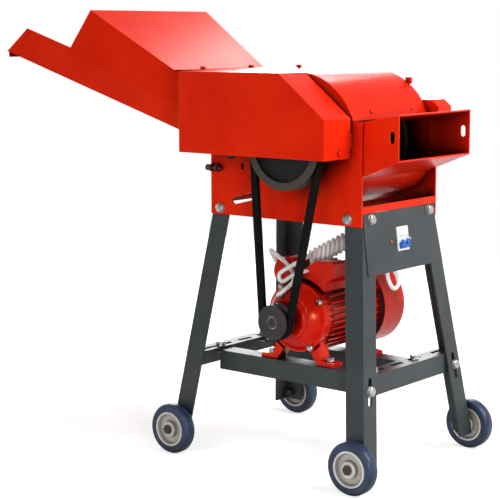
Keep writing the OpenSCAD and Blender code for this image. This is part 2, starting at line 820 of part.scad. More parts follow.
function belt_ring(c, r, a, drop) = [c[0] + (r - drop) * cos(a), c[1] + (r - drop) * sin(a)];
function belt_path(drop) = concat(
    [for (i = [0:arc_n]) belt_ring([0, rotor_z], pulley_r + belt_proud,
        lean + wrap + (360 - 2 * wrap) * i / arc_n, drop)],
    [for (i = [0:arc_n]) belt_ring([motor_x, motor_z], motor_pulley_r + belt_proud,
        lean - wrap + 2 * wrap * i / arc_n, drop)]);

module v_belt() {
    top = belt_path(0);
    low = belt_path(belt_h);
    n = len(top);
    foot = belt_w / 2 - belt_h * tan(19);
    pts = concat([for (p = top) [p[0], -belt_w / 2, p[1]]], [for (p = top) [p[0], belt_w / 2, p[1]]],
        [for (p = low) [p[0], foot, p[1]]], [for (p = low) [p[0], -foot, p[1]]]);
    faces = [for (i = [0:n - 1]) for (k = [0:3])
        let (j = (i + 1) % n, a = k * n, b = ((k + 1) % 4) * n)
        each [[a + i, a + j, b + j], [a + i, b + j, b + i]]];
    placed() color("#161618") translate([0, belt_y, 0]) polyhedron(pts, faces);
}

// Feed gear train on the far side
module idler_stud() {
    placed() color("silver") y_at(idler_x, idler_zc) union() {
        y_disc(8, yi, plane_c + gear_w + 2);
        y_disc(13, yi - 6, yi);
        y_disc(12, yo, plane_b - 1.5);
    }
}

module idler_gears() {
    placed() color(iron) y_at(idler_x, idler_zc) difference() {
        union() {
            gear(gear_m, idler_z, idler_phase, plane_c, plane_c + gear_w);
            gear(gear_m, pinion_z, idler_phase, plane_b, plane_c + 1);
        }
        y_disc(8 + fit, 0, 300);
    }
}

// Toothed feed roller
module roller_outline() {
    polygon([for (i = [0:roller_teeth - 1]) for (p = [[0, 0], [0.42, 0], [0.5, 7], [0.92, 7]])
        let (a = 360 * (i + p[0]) / roller_teeth) (roller_r - p[1]) * [cos(a), sin(a)]]);
}

module lower_roller() {
    placed() color(iron) y_at(feed_x, lower_z) union() {
        xz(-roller_half, roller_half) roller_outline();
        y_disc(roller_shaft_r, -yo - 4, plane_b + gear_w);
    }
}

module lower_roller_gears() {
    placed() color(iron) y_at(feed_x, lower_z) difference() {
        union() {
            gear(long_m, long_z, feed_phase, plane_a, plane_a + 12);
            gear(gear_m, feed_z, feed_phase, plane_b, plane_b + gear_w);
            y_disc(18, plane_a, plane_b + 1);
        }
        y_disc(roller_shaft_r, 0, 300);
    }
}

module upper_roller() {
    placed() color(iron) y_at(feed_x, upper_z) union() {
        xz(-roller_half, roller_half) rotate(18) roller_outline();
        y_disc(roller_shaft_r, -yo - 4, plane_a + 12);
    }
}

module upper_roller_gear() {
    placed() color(iron) y_at(feed_x, upper_z) difference() {
        gear(long_m, long_z, upper_phase, plane_a, plane_a + 12);
        y_disc(roller_shaft_r, 0, 300);
    }
}

spring_y = yi - 13;
spring_r = 9;
spring_wire = 1.5;

module upper_bearing_blocks() {
    placed() color(iron) mirror_y() difference() {
        union() {
            translate([feed_x - block_half, -yo - 2, upper_z - block_half])
                cube([2 * block_half, yo + 2 - roller_half - 3, 2 * block_half]);
            translate([feed_x, -spring_y, upper_z]) cylinder(r = spring_r - 3, h = block_half + 8);
        }
        y_at(feed_x, upper_z) y_disc(roller_shaft_r + fit, -300, 0);
    }
}

spring_z0 = upper_z + block_half + spring_wire + 0.1;
spring_z1 = plate_top - spring_wire - 0.1;
spring_turns = 7;

function spring_points() = concat(
    [for (i = [0:8 * spring_turns]) let (a = 45 * i)
        [feed_x + spring_r * cos(a), -spring_y + spring_r * sin(a),
         spring_z0 + (spring_z1 - spring_z0) * i / (8 * spring_turns)]]);

module pressure_springs() {
    placed() color("silver") mirror_y() tube(spring_points(), spring_wire, 6);
}

// Motor on a horizontal axis, feet on the rails
module motor_frame() {
    placed() color(red) {
        difference() {
            union() {
                y_at(motor_x, motor_z) y_disc(stator_r - 7, motor_front + 0.2, motor_rear);
                y_at(motor_x, motor_z) for (k = [0:fin_count - 1])
                    rotate([0, 360 * (k + 0.5) / fin_count, 0])
                        translate([stator_r - 12, motor_front + 14, -1.5])
                            cube([12, motor_rear - motor_front - 22, 3]);
                for (s = [-1, 1]) for (fy = foot_ys)
                    translate([motor_x, fy, 0]) xz(-14, 14) polygon([
                        [s * (foot_half - 20), rail_z], [s * (foot_half + 17), rail_z],
                        [s * (foot_half + 17), rail_z + 8], [s * (foot_half - 12), rail_z + 10],
                        [s * 46, motor_z - 34], [s * 22, motor_z - 50], [s * 30, rail_z + 26]]);
            }
            y_at(motor_x, motor_z) y_disc(bore_r, -200, 200);
            y_at(motor_x, motor_z) y_disc(bell_r + 6, motor_front - 40, motor_front + 0.2);
            for (s = [-1, 1]) for (fy = foot_ys)
                translate([motor_x + s * foot_half, fy, rail_z - 9]) cylinder(r = 4.2, h = 60);
        }
    }
}

bell_r = 67;
bell_bolt_r = 62;
bell_angles = [32, 122, 212, 302];

module motor_front_bell() {
    placed() color(red) difference() {
        union() {
            translate([motor_x, motor_front, motor_z]) rotate([90, 0, 0]) rotate_extrude($fn = 96)
                polygon([[motor_shaft_r + fit, 0], [bell_r, 0], [bell_r, 8], [bell_r - 4, 9],
                    [bell_r - 7, 14], [bell_r - 14, 22], [46, 28], [42, 30], [41, 38],
                    [38, 40], [motor_shaft_r + fit, 40]]);
            y_at(motor_x, motor_z) for (a = bell_angles) rotate([0, -a, 0])
                translate([bell_bolt_r + 3, 0, 0]) y_disc(7, motor_front - 10, motor_front);
        }
        y_at(motor_x, motor_z) for (a = bell_angles) rotate([0, -a, 0])
            translate([bell_bolt_r + 3, 0, 0]) {
                y_disc(3.1, motor_front - 60, motor_front + 20);
                y_disc(6.6, motor_front - 60, motor_front - 10);
            }
        y_at(motor_x, motor_z) y_disc(bore_r, motor_front - 6, motor_front + 1);
    }
}

module motor_rear_bell() {
    placed() color(red) difference() {
        y_at(motor_x, motor_z) union() {
            y_disc(stator_r, motor_rear, motor_rear + 7);
            y_disc(26, motor_rear, motor_rear + 12);
            for (a = bell_angles) rotate([0, -a, 0]) translate([0, motor_rear, -7])
                cube([cowl_r - 2.1, 7, 14]);
        }
        y_at(motor_x, motor_z) y_disc(motor_shaft_r + fit, 0, 200);
        y_at(motor_x, motor_z) y_disc(bore_r, motor_rear - 1, motor_rear + 4);
    }
}

module fan_cowl() {
    slit = [20, 30, 40, 50, 60];
    placed() color(red) y_at(motor_x, motor_z) difference() {
        translate([0, motor_rear, 0]) rotate([-90, 0, 0]) rotate_extrude($fn = 96) polygon([
            [cowl_r - 1.5, 0], [cowl_r, 0], [cowl_r, cowl_end - motor_rear - 8],
            [cowl_r - 3, cowl_end - motor_rear - 3], [cowl_r - 8, cowl_end - motor_rear],
            [0, cowl_end - motor_rear], [0, cowl_end - motor_rear - 1.5],
            [cowl_r - 9, cowl_end - motor_rear - 1.5], [cowl_r - 4, cowl_end - motor_rear - 4],
            [cowl_r - 1.5, cowl_end - motor_rear - 9]]);
        xz(cowl_end - 5, cowl_end + 5) difference() {
            for (r = slit) difference() {
                circle(r + 2.5);
                circle(r - 2.5);
            }
            for (a = [0:60:300]) rotate(a) translate([0, -3]) square([90, 6]);
        }
    }
}

box_y0 = -94;
box_y1 = -22;
box_top = motor_z + 109;

module box_outline() {
    polygon([[-37, motor_z + 30], [-37, box_top - 33], [-34, box_top - 30],
        [8, box_top - 2], [14, box_top], [46, box_top], [50, box_top - 4],
        [50, motor_z + 80], [32, motor_z + 66], [22, motor_z + 30]]);
}

module terminal_box() {
    placed() color(red) difference() {
        xz(box_y0, box_y1) box_outline();
        y_at(motor_x, motor_z) y_disc(stator_r + seat, -200, 200);
    }
}

// Capacitor cover: a round can on a saddle that sits on the stator
cap_r = 28;
cap_at = [-66, 366];
cap_y0 = -92;
cap_y1 = -2;

module capacitor_cover() {
    placed() color(red) difference() {
        union() {
            translate([cap_at[0], cap_y0, cap_at[1]]) rotate([-90, 0, 0]) rotate_extrude()
                polygon([[0, 0], [cap_r - 4, 0], [cap_r - 1, 1.5], [cap_r, 5],
                    [cap_r, cap_y1 - cap_y0 - 4], [cap_r - 4, cap_y1 - cap_y0],
                    [0, cap_y1 - cap_y0]]);
            xz(cap_y0 + 14, cap_y1 - 12) polygon([cap_at + [4, -20], cap_at + [-26, -8],
                [motor_x - 62, motor_z + 32], [motor_x - 24, motor_z + 56]]);
        }
        y_at(motor_x, motor_z) y_disc(stator_r + seat, -300, 300);
    }
}

module motor_shaft() {
    placed() color("silver") y_at(motor_x, motor_z) union() {
        y_disc(motor_shaft_r, belt_y - pulley_w / 2 + 1, cowl_end - 12);
        y_disc(bore_r - 0.5, motor_front + 2, motor_rear - 2);
    }
}

module motor_fan() {
    placed() color("#202226") y_at(motor_x, motor_z) difference() {
        union() {
            y_disc(22, motor_rear + 14, motor_rear + 38);
            y_disc(60, motor_rear + 16, motor_rear + 19);
            for (a = [0:60:300]) rotate([0, a, 0])
                translate([18, motor_rear + 17, -1.5]) cube([44, 24, 3]);
        }
        y_disc(motor_shaft_r, 0, 300);
    }
}

// Wheels: rim with a deep web, solid tyre
module rim() {
    w = tyre_w / 2;
    rotate([90, 0, 0]) rotate_extrude($fn = 96) polygon([[axle_r + fit, -w - 1.5],
        [15, -w - 1.5], [16, -w + 8], [rim_r - 6, -w + 8], [rim_r - 4, -w], [rim_r, -w],
        [rim_r - 1, 0], [rim_r, w], [rim_r - 4, w], [rim_r - 6, w - 8], [16, w - 8],
        [15, w + 1.5], [axle_r + fit, w + 1.5]]);
}

module tyre() {
    w = tyre_w / 2;
    rotate([90, 0, 0]) rotate_extrude($fn = 96) polygon([[rim_r, -w], [wheel_r - 6, -w],
        [wheel_r - 2.5, -w + 2], [wheel_r, -w + 7], [wheel_r, w - 7], [wheel_r - 2.5, w - 2],
        [wheel_r - 6, w], [rim_r, w], [rim_r - 1, 0]]);
}

module at_wheel(x, side) { translate([x, side * wheel_y, wheel_r]) children(); }

module rim_rear_near() { placed() color(zinc) at_wheel(axle_x_rear, -1) rim(); }
module rim_rear_far() { placed() color(zinc) at_wheel(axle_x_rear, 1) rim(); }
module rim_front_near() { placed() color(zinc) at_wheel(axle_x_front, -1) rim(); }
module rim_front_far() { placed() color(zinc) at_wheel(axle_x_front, 1) rim(); }
module tyre_rear_near() { placed() color(navy) at_wheel(axle_x_rear, -1) tyre(); }
module tyre_rear_far() { placed() color(navy) at_wheel(axle_x_rear, 1) tyre(); }
module tyre_front_near() { placed() color(navy) at_wheel(axle_x_front, -1) tyre(); }
module tyre_front_far() { placed() color(navy) at_wheel(axle_x_front, 1) tyre(); }

module wheel_axles() {
    out = wheel_y + tyre_w / 2 + 1.8;
    placed() color(zinc) for (x = [axle_x_rear, axle_x_front]) mirror_y() y_at(x, wheel_r) {
        y_disc(axle_r, -out - 1, -wheel_y + tyre_w / 2 + 24);
        xz(-out - 5, -out) circle(9.2, $fn = 6);
        xz(-wheel_y + tyre_w / 2 + 11, -wheel_y + tyre_w / 2 + 19) rotate(30)
            circle(9.2, $fn = 6);
    }
}

// Frame bolts: side plates, panel, leg slots and rail ends
module frame_bolts() {
    placed() color(zinc) {
        mirror_y() for (x = side_bolt_x) translate([x, -yo, bolt_z]) rotate([90, 0, 0])
            bolt(10, 16, 6, 16, 0);
        for (s = [-1, 1]) at_panel_bolt(s) bolt(10, 16, 6, 16, 0);
        for (s = [-1, 1]) at_slot_bolt(s) bolt(10, 16, 6, 12, 0);
        for (x = [beam_rear_x, beam_front_x]) for (y = [rail_near_y, rail_far_y])
            translate([x + (x < 0 ? 1 : -1) * (beam_w / 2 + 3), y + beam_w / 2 + 4, beam_z])
                bolt(10, 16, 6, 14, 5);
    }
}

module motor_bolts() {
    placed() color(zinc) {
        for (s = [-1, 1]) for (fy = foot_ys)
            translate([motor_x + s * foot_half, fy, rail_z + 10]) bolt(8, 13, 5, 20, 0);
        y_at(motor_x, motor_z) for (a = bell_angles) rotate([0, -a, 0])
            translate([bell_bolt_r + 3, motor_front - 10, 0]) rotate([90, 0, 0])
                bolt(6, 10, 4, 8, 0);
    }
}

// Leads: the supply lead is wound into a coil that rests on the terminal box
cord_r = 3.9;
coil_turns = 9;
coil_r = 15;
coil_pitch = [6.7, 5.5, 4.6];
coil_at = [-29.6, -58, 389];
coil_deep = [-0.635, 0.773, 0];

function coil_point(t) = coil_at + coil_pitch * t
    + coil_r * (cos(90 - 360 * t) * coil_deep + [0, 0, sin(90 - 360 * t)]);
coil_line = [for (i = [0:24 * coil_turns]) coil_point(i / 24)];
coil_gap = min([for (i = [0:23]) for (k = [-6:6])
    norm(coil_point(i / 24) - coil_point(1 + (i + k) / 24))]) - 2 * cord_r;
echo(coil_gap = coil_gap);

module cord_coil() { placed() color("white") tube(coil_line, cord_r, 6); }

// The free stretches, points chosen by hand
supply_in = [[-29.2, -58.5, 404], [-22, -67.5, 404], [-14, -80, 403], [-9, -94, 401],
    [-9, -107, 398], [-13, -117, 393], [-22, -124, 387], [-34, -125, 380], [-46, -125, 373],
    [-53, -125, 366], [-53, -125, 358], [-47, -124.5, 354], [-39, -124, 356],
    [-30, -122, 363], [-21, -118, 369], [-13, -111, 373], [-10, -103, 374],
    [-10, -94.3, 374]];
supply_out = [[30.3, -8, 445.4], [24, -0.5, 446], [16, 12, 445], [14, 26, 440],
    [24, 38, 431], [42, 44, 420], [62, 44, 408], [82, 38, 396], [98, 28, 385],
    [108, 23, 372], [112, 27, 359], [114, 27, 348], [115, 20, 340], [115, 10, 340],
    [115, 0, 348], [115, -8, 360], [114, -10, 373], [113, -9, 385], [113, -9, 394]];
motor_run = [[-46, -129.4, 329], [-46, -137, 329], [-42, -143, 331], [-34, -143, 336],
    [-29, -135, 343], [-27, -124, 349], [-28, -113, 356], [-34, -106, 366], [-45, -101, 376],
    [-59, -98, 386], [-74, -97.5, 394], [-89, -95, 401], [-103, -87, 404], [-112, -76, 400],
    [-116, -65, 390], [-113, -57, 377], [-105, -54, 368], [-95, -54, 366]];

module supply_lead() {
    placed() color("white") {
        tube(supply_in, cord_r, 8);
        tube(supply_out, cord_r, 8);
    }
}

module motor_lead() { placed() color("white") tube(motor_run, cord_r, 8); }

side_plate_near();
side_plate_far();
front_strip();
top_plate();
drum_cover();
drum_pan();
discharge_chute();
feed_trough();
feed_hood();
belt_guard();
gear_cover();
leg_rear_near();
leg_rear_far();
leg_front_near();
leg_front_far();
cross_beam_rear();
cross_beam_front();
motor_rail_near();
motor_rail_far();
switch_panel();
breaker_body();
breaker_toggle();
bearing_housings();
bed_knife();
rotor_shaft();
rotor_discs();
rotor_knives();
large_pulley();
idler_stud();
idler_gears();
lower_roller();
lower_roller_gears();
upper_roller();
upper_roller_gear();
upper_bearing_blocks();
pressure_springs();
v_belt();
motor_frame();
motor_front_bell();
motor_rear_bell();
fan_cowl();
terminal_box();
capacitor_cover();
motor_shaft();
motor_pulley();
motor_fan();
rim_rear_near();
rim_rear_far();
rim_front_near();
rim_front_far();
tyre_rear_near();
tyre_rear_far();
tyre_front_near();
tyre_front_far();
wheel_axles();
frame_bolts();
motor_bolts();
cord_coil();
supply_lead();
motor_lead();
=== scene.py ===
# %% [markdown]
# # A small fodder chopper on a wheeled stand
# The real machine is folded sheet steel with a red powder coat, bolted to four grey angle-iron legs.
# Its solids come from the CAD frame, so this lesson adds what steel, paint, rubber and cord look like.
# Everything is in metres, and every piece rides on a body of the frame, so that it follows the joints.

# %% Load the frame
import json
import math

import bmesh
import bpy
from mathutils import Matrix, Vector


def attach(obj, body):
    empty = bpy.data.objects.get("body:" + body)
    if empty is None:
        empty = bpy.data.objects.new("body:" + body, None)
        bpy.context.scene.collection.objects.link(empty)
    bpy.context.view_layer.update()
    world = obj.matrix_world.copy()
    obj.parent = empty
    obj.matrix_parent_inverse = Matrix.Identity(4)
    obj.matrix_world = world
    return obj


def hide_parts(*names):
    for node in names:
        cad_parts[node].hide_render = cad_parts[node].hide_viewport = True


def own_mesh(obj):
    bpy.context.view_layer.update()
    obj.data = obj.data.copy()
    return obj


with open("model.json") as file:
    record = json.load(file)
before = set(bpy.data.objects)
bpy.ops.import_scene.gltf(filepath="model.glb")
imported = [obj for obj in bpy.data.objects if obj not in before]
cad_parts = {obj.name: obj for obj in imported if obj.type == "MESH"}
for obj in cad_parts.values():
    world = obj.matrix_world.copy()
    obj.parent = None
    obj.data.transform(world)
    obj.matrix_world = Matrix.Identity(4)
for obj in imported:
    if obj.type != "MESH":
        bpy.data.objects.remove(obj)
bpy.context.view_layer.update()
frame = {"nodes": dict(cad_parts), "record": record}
BODY_OF = {node: body for body, nodes in frame["record"]["behaviour"]["bodies"].items()
           for node in nodes}

# %% [markdown]
# ## Places on the machine
# A fitter measures a chopper from its rotor's axis, because all the rest is set by it. So places are
# given here in millimetres from that axis, and one function turns them into the frame's metres. The
# legs lean by 7 degrees, which sets the way that the switch panel and the bolts in the legs face.

# %% Places
ROTOR_X = 0.249269      # where the rotor's axis stands in the frame, in metres
ROTOR_Z = 613
MOTOR_X, MOTOR_Z = -24, 286
BODY_FRONT, BODY_LOW = 134, 470
LEG_LEAN = math.radians(7)
LEG_WAY = (math.cos(LEG_LEAN), 0, math.sin(LEG_LEAN))
UP, BELT_SIDE, GEAR_SIDE, FORWARDS = (0, 0, 1), (0, -1, 0), (0, 1, 0), (1, 0, 0)


def in_metres(points):
    """Points in millimetres from the rotor's axis, as vectors in the frame's metres."""
    return [Vector((p[0] / 1000 + ROTOR_X, p[1] / 1000, p[2] / 1000)) for p in points]


def leg_face(z):
    """How far forward the faces of the front legs stand at a height."""
    return BODY_FRONT + (BODY_LOW - z) * math.tan(LEG_LEAN)


print("front legs reach", round(leg_face(0)), "mm past the rotor's axis at the floor")

# %% [markdown]
# ## Camera
# The photograph looks down a little at the belt side and the outlet, through a long lens from far
# away, so upright edges stay nearly parallel. A camera could be aimed by a constraint, but a matrix
# built from the line of sight holds its small roll too. It is made first, because the cords are judged
# by what it sees.

# %% Camera
SIGHT = Vector((-0.62795, 0.76429, -0.14676)).normalized()
CAMERA_AT = (1.8898, -2.2727, 0.8187)
ROLL = math.radians(0.1)
LENS_MM, SENSOR_MM = 105.87, 36

side = SIGHT.cross(Vector(UP)).normalized()
top = side.cross(SIGHT)
across = side * math.cos(ROLL) - top * math.sin(ROLL)
upward = side * math.sin(ROLL) + top * math.cos(ROLL)

lens = bpy.data.cameras.new("camera")
lens.sensor_width, lens.lens = SENSOR_MM, LENS_MM
camera = bpy.data.objects.new("camera", lens)
camera.matrix_world = Matrix([(across[i], upward[i], -SIGHT[i], CAMERA_AT[i]) for i in range(3)]
                             + [(0, 0, 0, 1)])
bpy.context.scene.collection.objects.link(camera)
bpy.context.scene.camera = camera
print("camera stands", round(camera.location.length, 2), "m from the origin")

# %% [markdown]
# ## Colours and nodes
# Paint colours are easy to read as hex values, which are sRGB. A shader works in linear light, so one
# function turns them. One more adds a node of any kind: an input given as a socket is linked, and one
# given as a value is set.

# %% Colours and nodes
def linear(code):
    """A hex colour, as on a colour chart, in the linear light that a shader works in."""
    parts = [int(code[i:i + 2], 16) / 255 for i in (1, 3, 5)]
    return [p / 12.92 if p <= 0.04045 else ((p + 0.055) / 1.055) ** 2.4 for p in parts] + [1.0]


def add(tree, kind, inputs=None, **settings):
    """Adds one node. Inputs are sockets to link or values to set."""
    made = tree.nodes.new(kind)
    for name, value in settings.items():
        setattr(made, name, value)
    for name, value in (inputs or {}).items():
        if isinstance(value, bpy.types.NodeSocket):
            tree.links.new(value, made.inputs[name])
        else:
            made.inputs[name].default_value = value
    return made


WHITE = linear("#FFFFFF")
print("a mid grey of 50 % on the chart is", round(linear("#808080")[0], 3), "in linear light")

# %% [markdown]
# ## One recipe for all finishes
# A real finish isn't one flat colour: its colour drifts in soft spots, its gloss drifts too, and its
# skin has a fine relief. An image could hold all three, but noise has a size in millimetres and never
# repeats. So the recipe has three clouds of noise, for colour, gloss and relief. Shade is also painted
# into the colour deep inside a box and between close parts: an ambient occlusion node, which asks how
# much open space a spot sees within a reach, mixes in a darker colour there as painted shade. What is
# the same all over goes straight to the shader's own sockets.

# %% The recipe
EVEN = 0.5      # how fast finer noise fades, as usual


def make_finish(name, colours, spots, gloss, relief, painted_shade=None, stops=(0.35, 0.65),
                space=(0.32, 0.74), stretch=None, mask=None, **constants):
    """Makes a material. Sizes, reaches and depths are in millimetres.

    colours: the deep and the bright one      spots: size, detail and fading of the colour's cloud
    gloss: size, detail, lowest and highest roughness         relief: width, detail and depth
    painted_shade: the painted shade's colour deep inside and its reach, between the shares of open space
    given as space
    """
    finish = bpy.data.materials.new(name)
    finish.use_nodes = True
    tree = finish.node_tree
    tree.nodes.clear()
    place = add(tree, "ShaderNodeTexCoord").outputs["Object"]
    if stretch:
        place = add(tree, "ShaderNodeMapping", {"Vector": place, "Scale": stretch}).outputs[0]
    spot, dull, grain = [add(tree, "ShaderNodeTexNoise", {
        "Vector": place, "Scale": 1000 / size, "Detail": detail, "Roughness": fading}).outputs["Fac"]
        for size, detail, fading in (spots, (*gloss[:2], EVEN), (*relief[:2], EVEN))]

    shade = add(tree, "ShaderNodeValToRGB", {"Fac": mask(tree, place, spot) if mask else spot})
    for stop, at, code in zip(shade.color_ramp.elements, stops, colours):
        stop.position, stop.color = at, linear(code)
    colour = shade.outputs["Color"]
    # Painted shade: a darker colour mixed in where a spot sees little open space within the reach
    if painted_shade:
        shade_colour, reach = painted_shade
        sky = add(tree, "ShaderNodeAmbientOcclusion", {"Distance": reach / 1000}, samples=8)
        seen = add(tree, "ShaderNodeMapRange", {"Value": sky.outputs["AO"], "From Min": space[0],
                                                "From Max": space[1]}).outputs["Result"]
        colour = add(tree, "ShaderNodeMixRGB", {"Fac": seen, "Color1": linear(shade_colour),
                                                "Color2": colour}).outputs[0]
    rough = add(tree, "ShaderNodeMapRange", {"Value": dull, "To Min": gloss[2], "To Max": gloss[3]})
    bump = add(tree, "ShaderNodeBump", {"Height": grain, "Distance": relief[2] / 1000,
                                        "Strength": 1.0})
    inputs = {key.replace("_", " "): value for key, value in constants.items()}
    shader = add(tree, "ShaderNodeBsdfPrincipled", {
        **inputs, "Base Color": colour, "Roughness": rough.outputs["Result"],
        "Normal": bump.outputs["Normal"]})
    add(tree, "ShaderNodeOutputMaterial", {"Surface": shader.outputs[0]})
    print("finish:", name)
    return finish


print("recipe ready, with a cloud of noise for colour, for gloss and for relief")

# %% [markdown]
# ## Powder coat
# The sheet steel is sprayed with polyester powder and baked. The skin flows out to a gloss but keeps a
# faint orange peel, waves of 2 to 3 mm. So the colour is nearly even, the gloss drifts over 35 mm, and
# a shallow relief breaks up reflections. Plain glossy red would look like plastic, which is why both
# the peel and the drift are there. The coat is a dielectric, so its IOR stays at 1.5.

# %% Powder coats
def powder_coat(name, deep, bright, painted_shade, rough, peel, reach=150, **constants):
    """A baked coat, with painted shade out to a reach in millimetres. The peel is given by its width and
    depth.
    """
    width, depth = peel
    vary = 0.06
    return make_finish(name, (deep, bright), (90, 3.0, EVEN), (35, 4.0, rough - vary, rough + vary),
                       (width, 1.0, depth), (painted_shade, reach), stops=(0.3, 0.7), IOR=1.5, **constants)


# Each coat: its deep and bright colour, its painted shade's colour, roughness, and peel
RED_COAT = ("#DA1F08", "#E62A0C", "#140101", 0.25, (2.6, 0.012))
RED_SHINE = {"Specular_IOR_Level": 0.26, "Specular_Tint": linear("#FF8A40")}
# Polyester powder on folded steel: an even warm red, bright where it mirrors the studio, with painted
# shade near black inside boxes and between close parts
red_coat = powder_coat("red_powder_coat", *RED_COAT, **RED_SHINE)
# The same coat on the gear cover, whose painted shade reaches only 25 mm, so that only its seams turn dark
red_coat_short_shade = powder_coat("red_powder_coat_short_painted_shade", *RED_COAT, 25, **RED_SHINE)
# Satin powder on angle iron: a blue-grey near black, with broad dull highlights and painted shade in its
# corners
grey_coat = powder_coat("grey_powder_coat", "#35393B", "#3F4446", "#1E2122", 0.42, (1.6, 0.02),
                        Specular_IOR_Level=0.35)

# %% [markdown]
# ## Castings and rubber
# The motor's shells are die castings under a thick enamel that pools in their corners. Housings and
# pulleys are sand-cast grey iron, whose skin shows the sand's grain of about 2 mm. Tyres are poured
# polyurethane, and the belt is rubber in a woven wrap. All are grainy skins, matt or shiny, so they
# share one recipe and differ in grain, gloss and colour. All get painted shade where close parts shut
# them in.

# %% Castings and rubber
def casting(name, deep, bright, painted_shade, rough, grain, depth, **constants):
    """A grainy skin, with painted shade where a part within 60 mm shuts it in."""
    vary, reach = 0.08, 60
    return make_finish(name, (deep, bright), (28, 4.0, EVEN), (12, 3.0, rough - vary, rough + vary),
                       (grain, 3.0, depth), (painted_shade, reach), **constants)


# In each casting below, the third colour is its painted shade
# Enamel on an aluminium casting: wet, sharp highlights on a deep red with a lightly wavy skin
red_enamel = casting("red_enamel_on_casting", "#CC1208", "#DE1C0C", "#260302", 0.20, 3.5, 0.05,
                     Specular_IOR_Level=0.6, Specular_Tint=linear("#FFA070"))
# Red enamel on the knob and lugs under the belt guard, drawn dark red-brown as painted shadow, with a weak
# sheen
guard_shadow_enamel = casting("red_enamel_in_painted_guard_shadow", "#3C0D0C", "#561614", "#1A0404", 0.34, 2.6, 0.05)
# Grey iron as cast: dark, grainy, hardly shiny
grey_iron = casting("cast_grey_iron", "#2B2C2F", "#3A3B3E", "#121213", 0.55, 2.0, 0.12)
# Grey iron drawn near black as painted shade, for the rotor's discs inside the drum and the bearing
# housings by the guard
shade_black_iron = casting("cast_iron_in_painted_shade", "#0C0D0E", "#151617", "#020202", 0.60, 2.0, 0.12,
                     Specular_IOR_Level=0.2)
# Painted iron, machined on its face: plum-black with a soft shine
pulley_iron = casting("painted_pulley_iron", "#241F24", "#302A31", "#0C0A0C", 0.42, 2.2, 0.08)
# Wrapped rubber: black and matt. Its weave is finer than a pixel, so it is drawn 1.4 mm wide
belt_rubber = casting("wrapped_belt_rubber", "#060708", "#0C0D0E", "#030303", 0.75, 1.4, 0.10,
                      Specular_IOR_Level=0.12)
# Glass-filled nylon: an even near-black with a fine moulded grain
fan_nylon = casting("moulded_black_nylon", "#17181A", "#222326", "#0B0B0C", 0.45, 1.0, 0.02)
# Poured polyurethane: deep blue and smooth, with a soft shine along the tread's shoulder
navy_tyre = casting("navy_polyurethane_tyre", "#1F2D47", "#2A3C5C", "#121A28", 0.36, 1.2, 0.03)

# %% [markdown]
# ## The large pulley's web in painted shade
# The pulley's web sits behind the belt guard, so it is drawn near black as painted shade, and the rim
# outside it is a brown-grey iron. A second mesh could carry the rim, but the shade has no edge in the
# metal. So a mask measures the distance from the rotor's axis, a little ragged, and chooses between the
# two colours.

# %% Painted shade on the web
WEB_R, RIM_R = 0.0655, 0.0675
RAGGED = 0.003


def shaded_web_mask(tree, place, spot):
    """From 0 on the web in painted shade to 1 on the brown-grey rim."""
    arm = add(tree, "ShaderNodeVectorMath", {0: place, 1: (ROTOR_X, 0, ROTOR_Z / 1000)},
              operation="SUBTRACT").outputs[0]
    flat = add(tree, "ShaderNodeVectorMath", {0: arm, 1: (1, 0, 1)}, operation="MULTIPLY").outputs[0]
    reach = add(tree, "ShaderNodeVectorMath", {0: flat}, operation="LENGTH").outputs["Value"]
    ragged = add(tree, "ShaderNodeMath", {0: spot, 1: RAGGED, 2: reach},
                 operation="MULTIPLY_ADD").outputs[0]
    return add(tree, "ShaderNodeMapRange", {"Value": ragged, "From Min": WEB_R,
                                            "From Max": RIM_R}).outputs["Result"]


# Iron with its web drawn near black as painted shade, a brown-grey rim and painted shade in its corners:
# two dull tones that meet in a slightly uneven line
wheel_iron = make_finish("wheel_iron_with_painted_shade_web", ("#080B0B", "#433C36"), (6, 3.0, EVEN),
                         (9, 3.0, 0.42, 0.6), (2.4, 3.0, 0.07), ("#040404", 60), stops=(0.0, 1.0),
                         mask=shaded_web_mask, Specular_IOR_Level=0.3)
# The printed radius is where the web's painted shade ends and the brown-grey rim begins
print("its rim is rubbed from", round(RIM_R * 1000, 1), "mm outwards")

# %% [markdown]
# ## Bare and plated metal
# Bolts are zinc plated: bright, with a cloudy bloom a few millimetres wide that comes from the bath.
# Shafts and washers are plain steel under old oil. Knives are ground, and grinding leaves fine parallel
# scratches along the edge. These are metals, so their colour is the reflection's, they are fully
# metallic and they keep the default IOR.

# %% Plated and ground metal
def plated(name, dark, light, rough):
    """Cloudy metal: its bloom fades slower than other noise, which makes it patchy."""
    bloom = (7, 4.0, 0.6)
    return make_finish(name, (dark, light), bloom, (3, 3.0, rough - 0.08, rough + 0.1),
                       (0.9, 2.0, 0.01), Metallic=1.0)


# Bright zinc: pale and cloudy, with crisp little highlights on every bolt head
zinc_plate = plated("bright_zinc_plate", "#B2B4B4", "#D4D3CF", 0.30)
# Steel under old oil: brown-grey, half dull
oiled_steel = plated("oiled_dark_steel", "#4A4540", "#5F5953", 0.42)
# Copper plating on a small screw: a warm dot on the white and grey around it
copper_screw = plated("copper_plated_screw", "#B0664A", "#C98468", 0.35)
# Ground tool steel: streaks along the edge. Real marks are finer, and these are 0.6 mm so that they show
SCRATCH = (0.6, 3.0)
tool_steel = make_finish("ground_tool_steel", ("#8E9092", "#BFC0C0"), (*SCRATCH, EVEN),
                         (*SCRATCH, 0.22, 0.42), (*SCRATCH, 0.012), stretch=(1, 0.04, 1),
                         Metallic=1.0)

# %% [markdown]
# ## Moulded plastics and the cord's sheath
# Rims are nylon, the breaker's case is polyamide with polycarbonate toggles, and the leads have a PVC
# sheath. Moulded plastic has an even colour through and through and takes its skin from the mould,
# so only the gloss and a very fine grain vary. The rims are greyer in their corners, from dirt and
# painted shade.

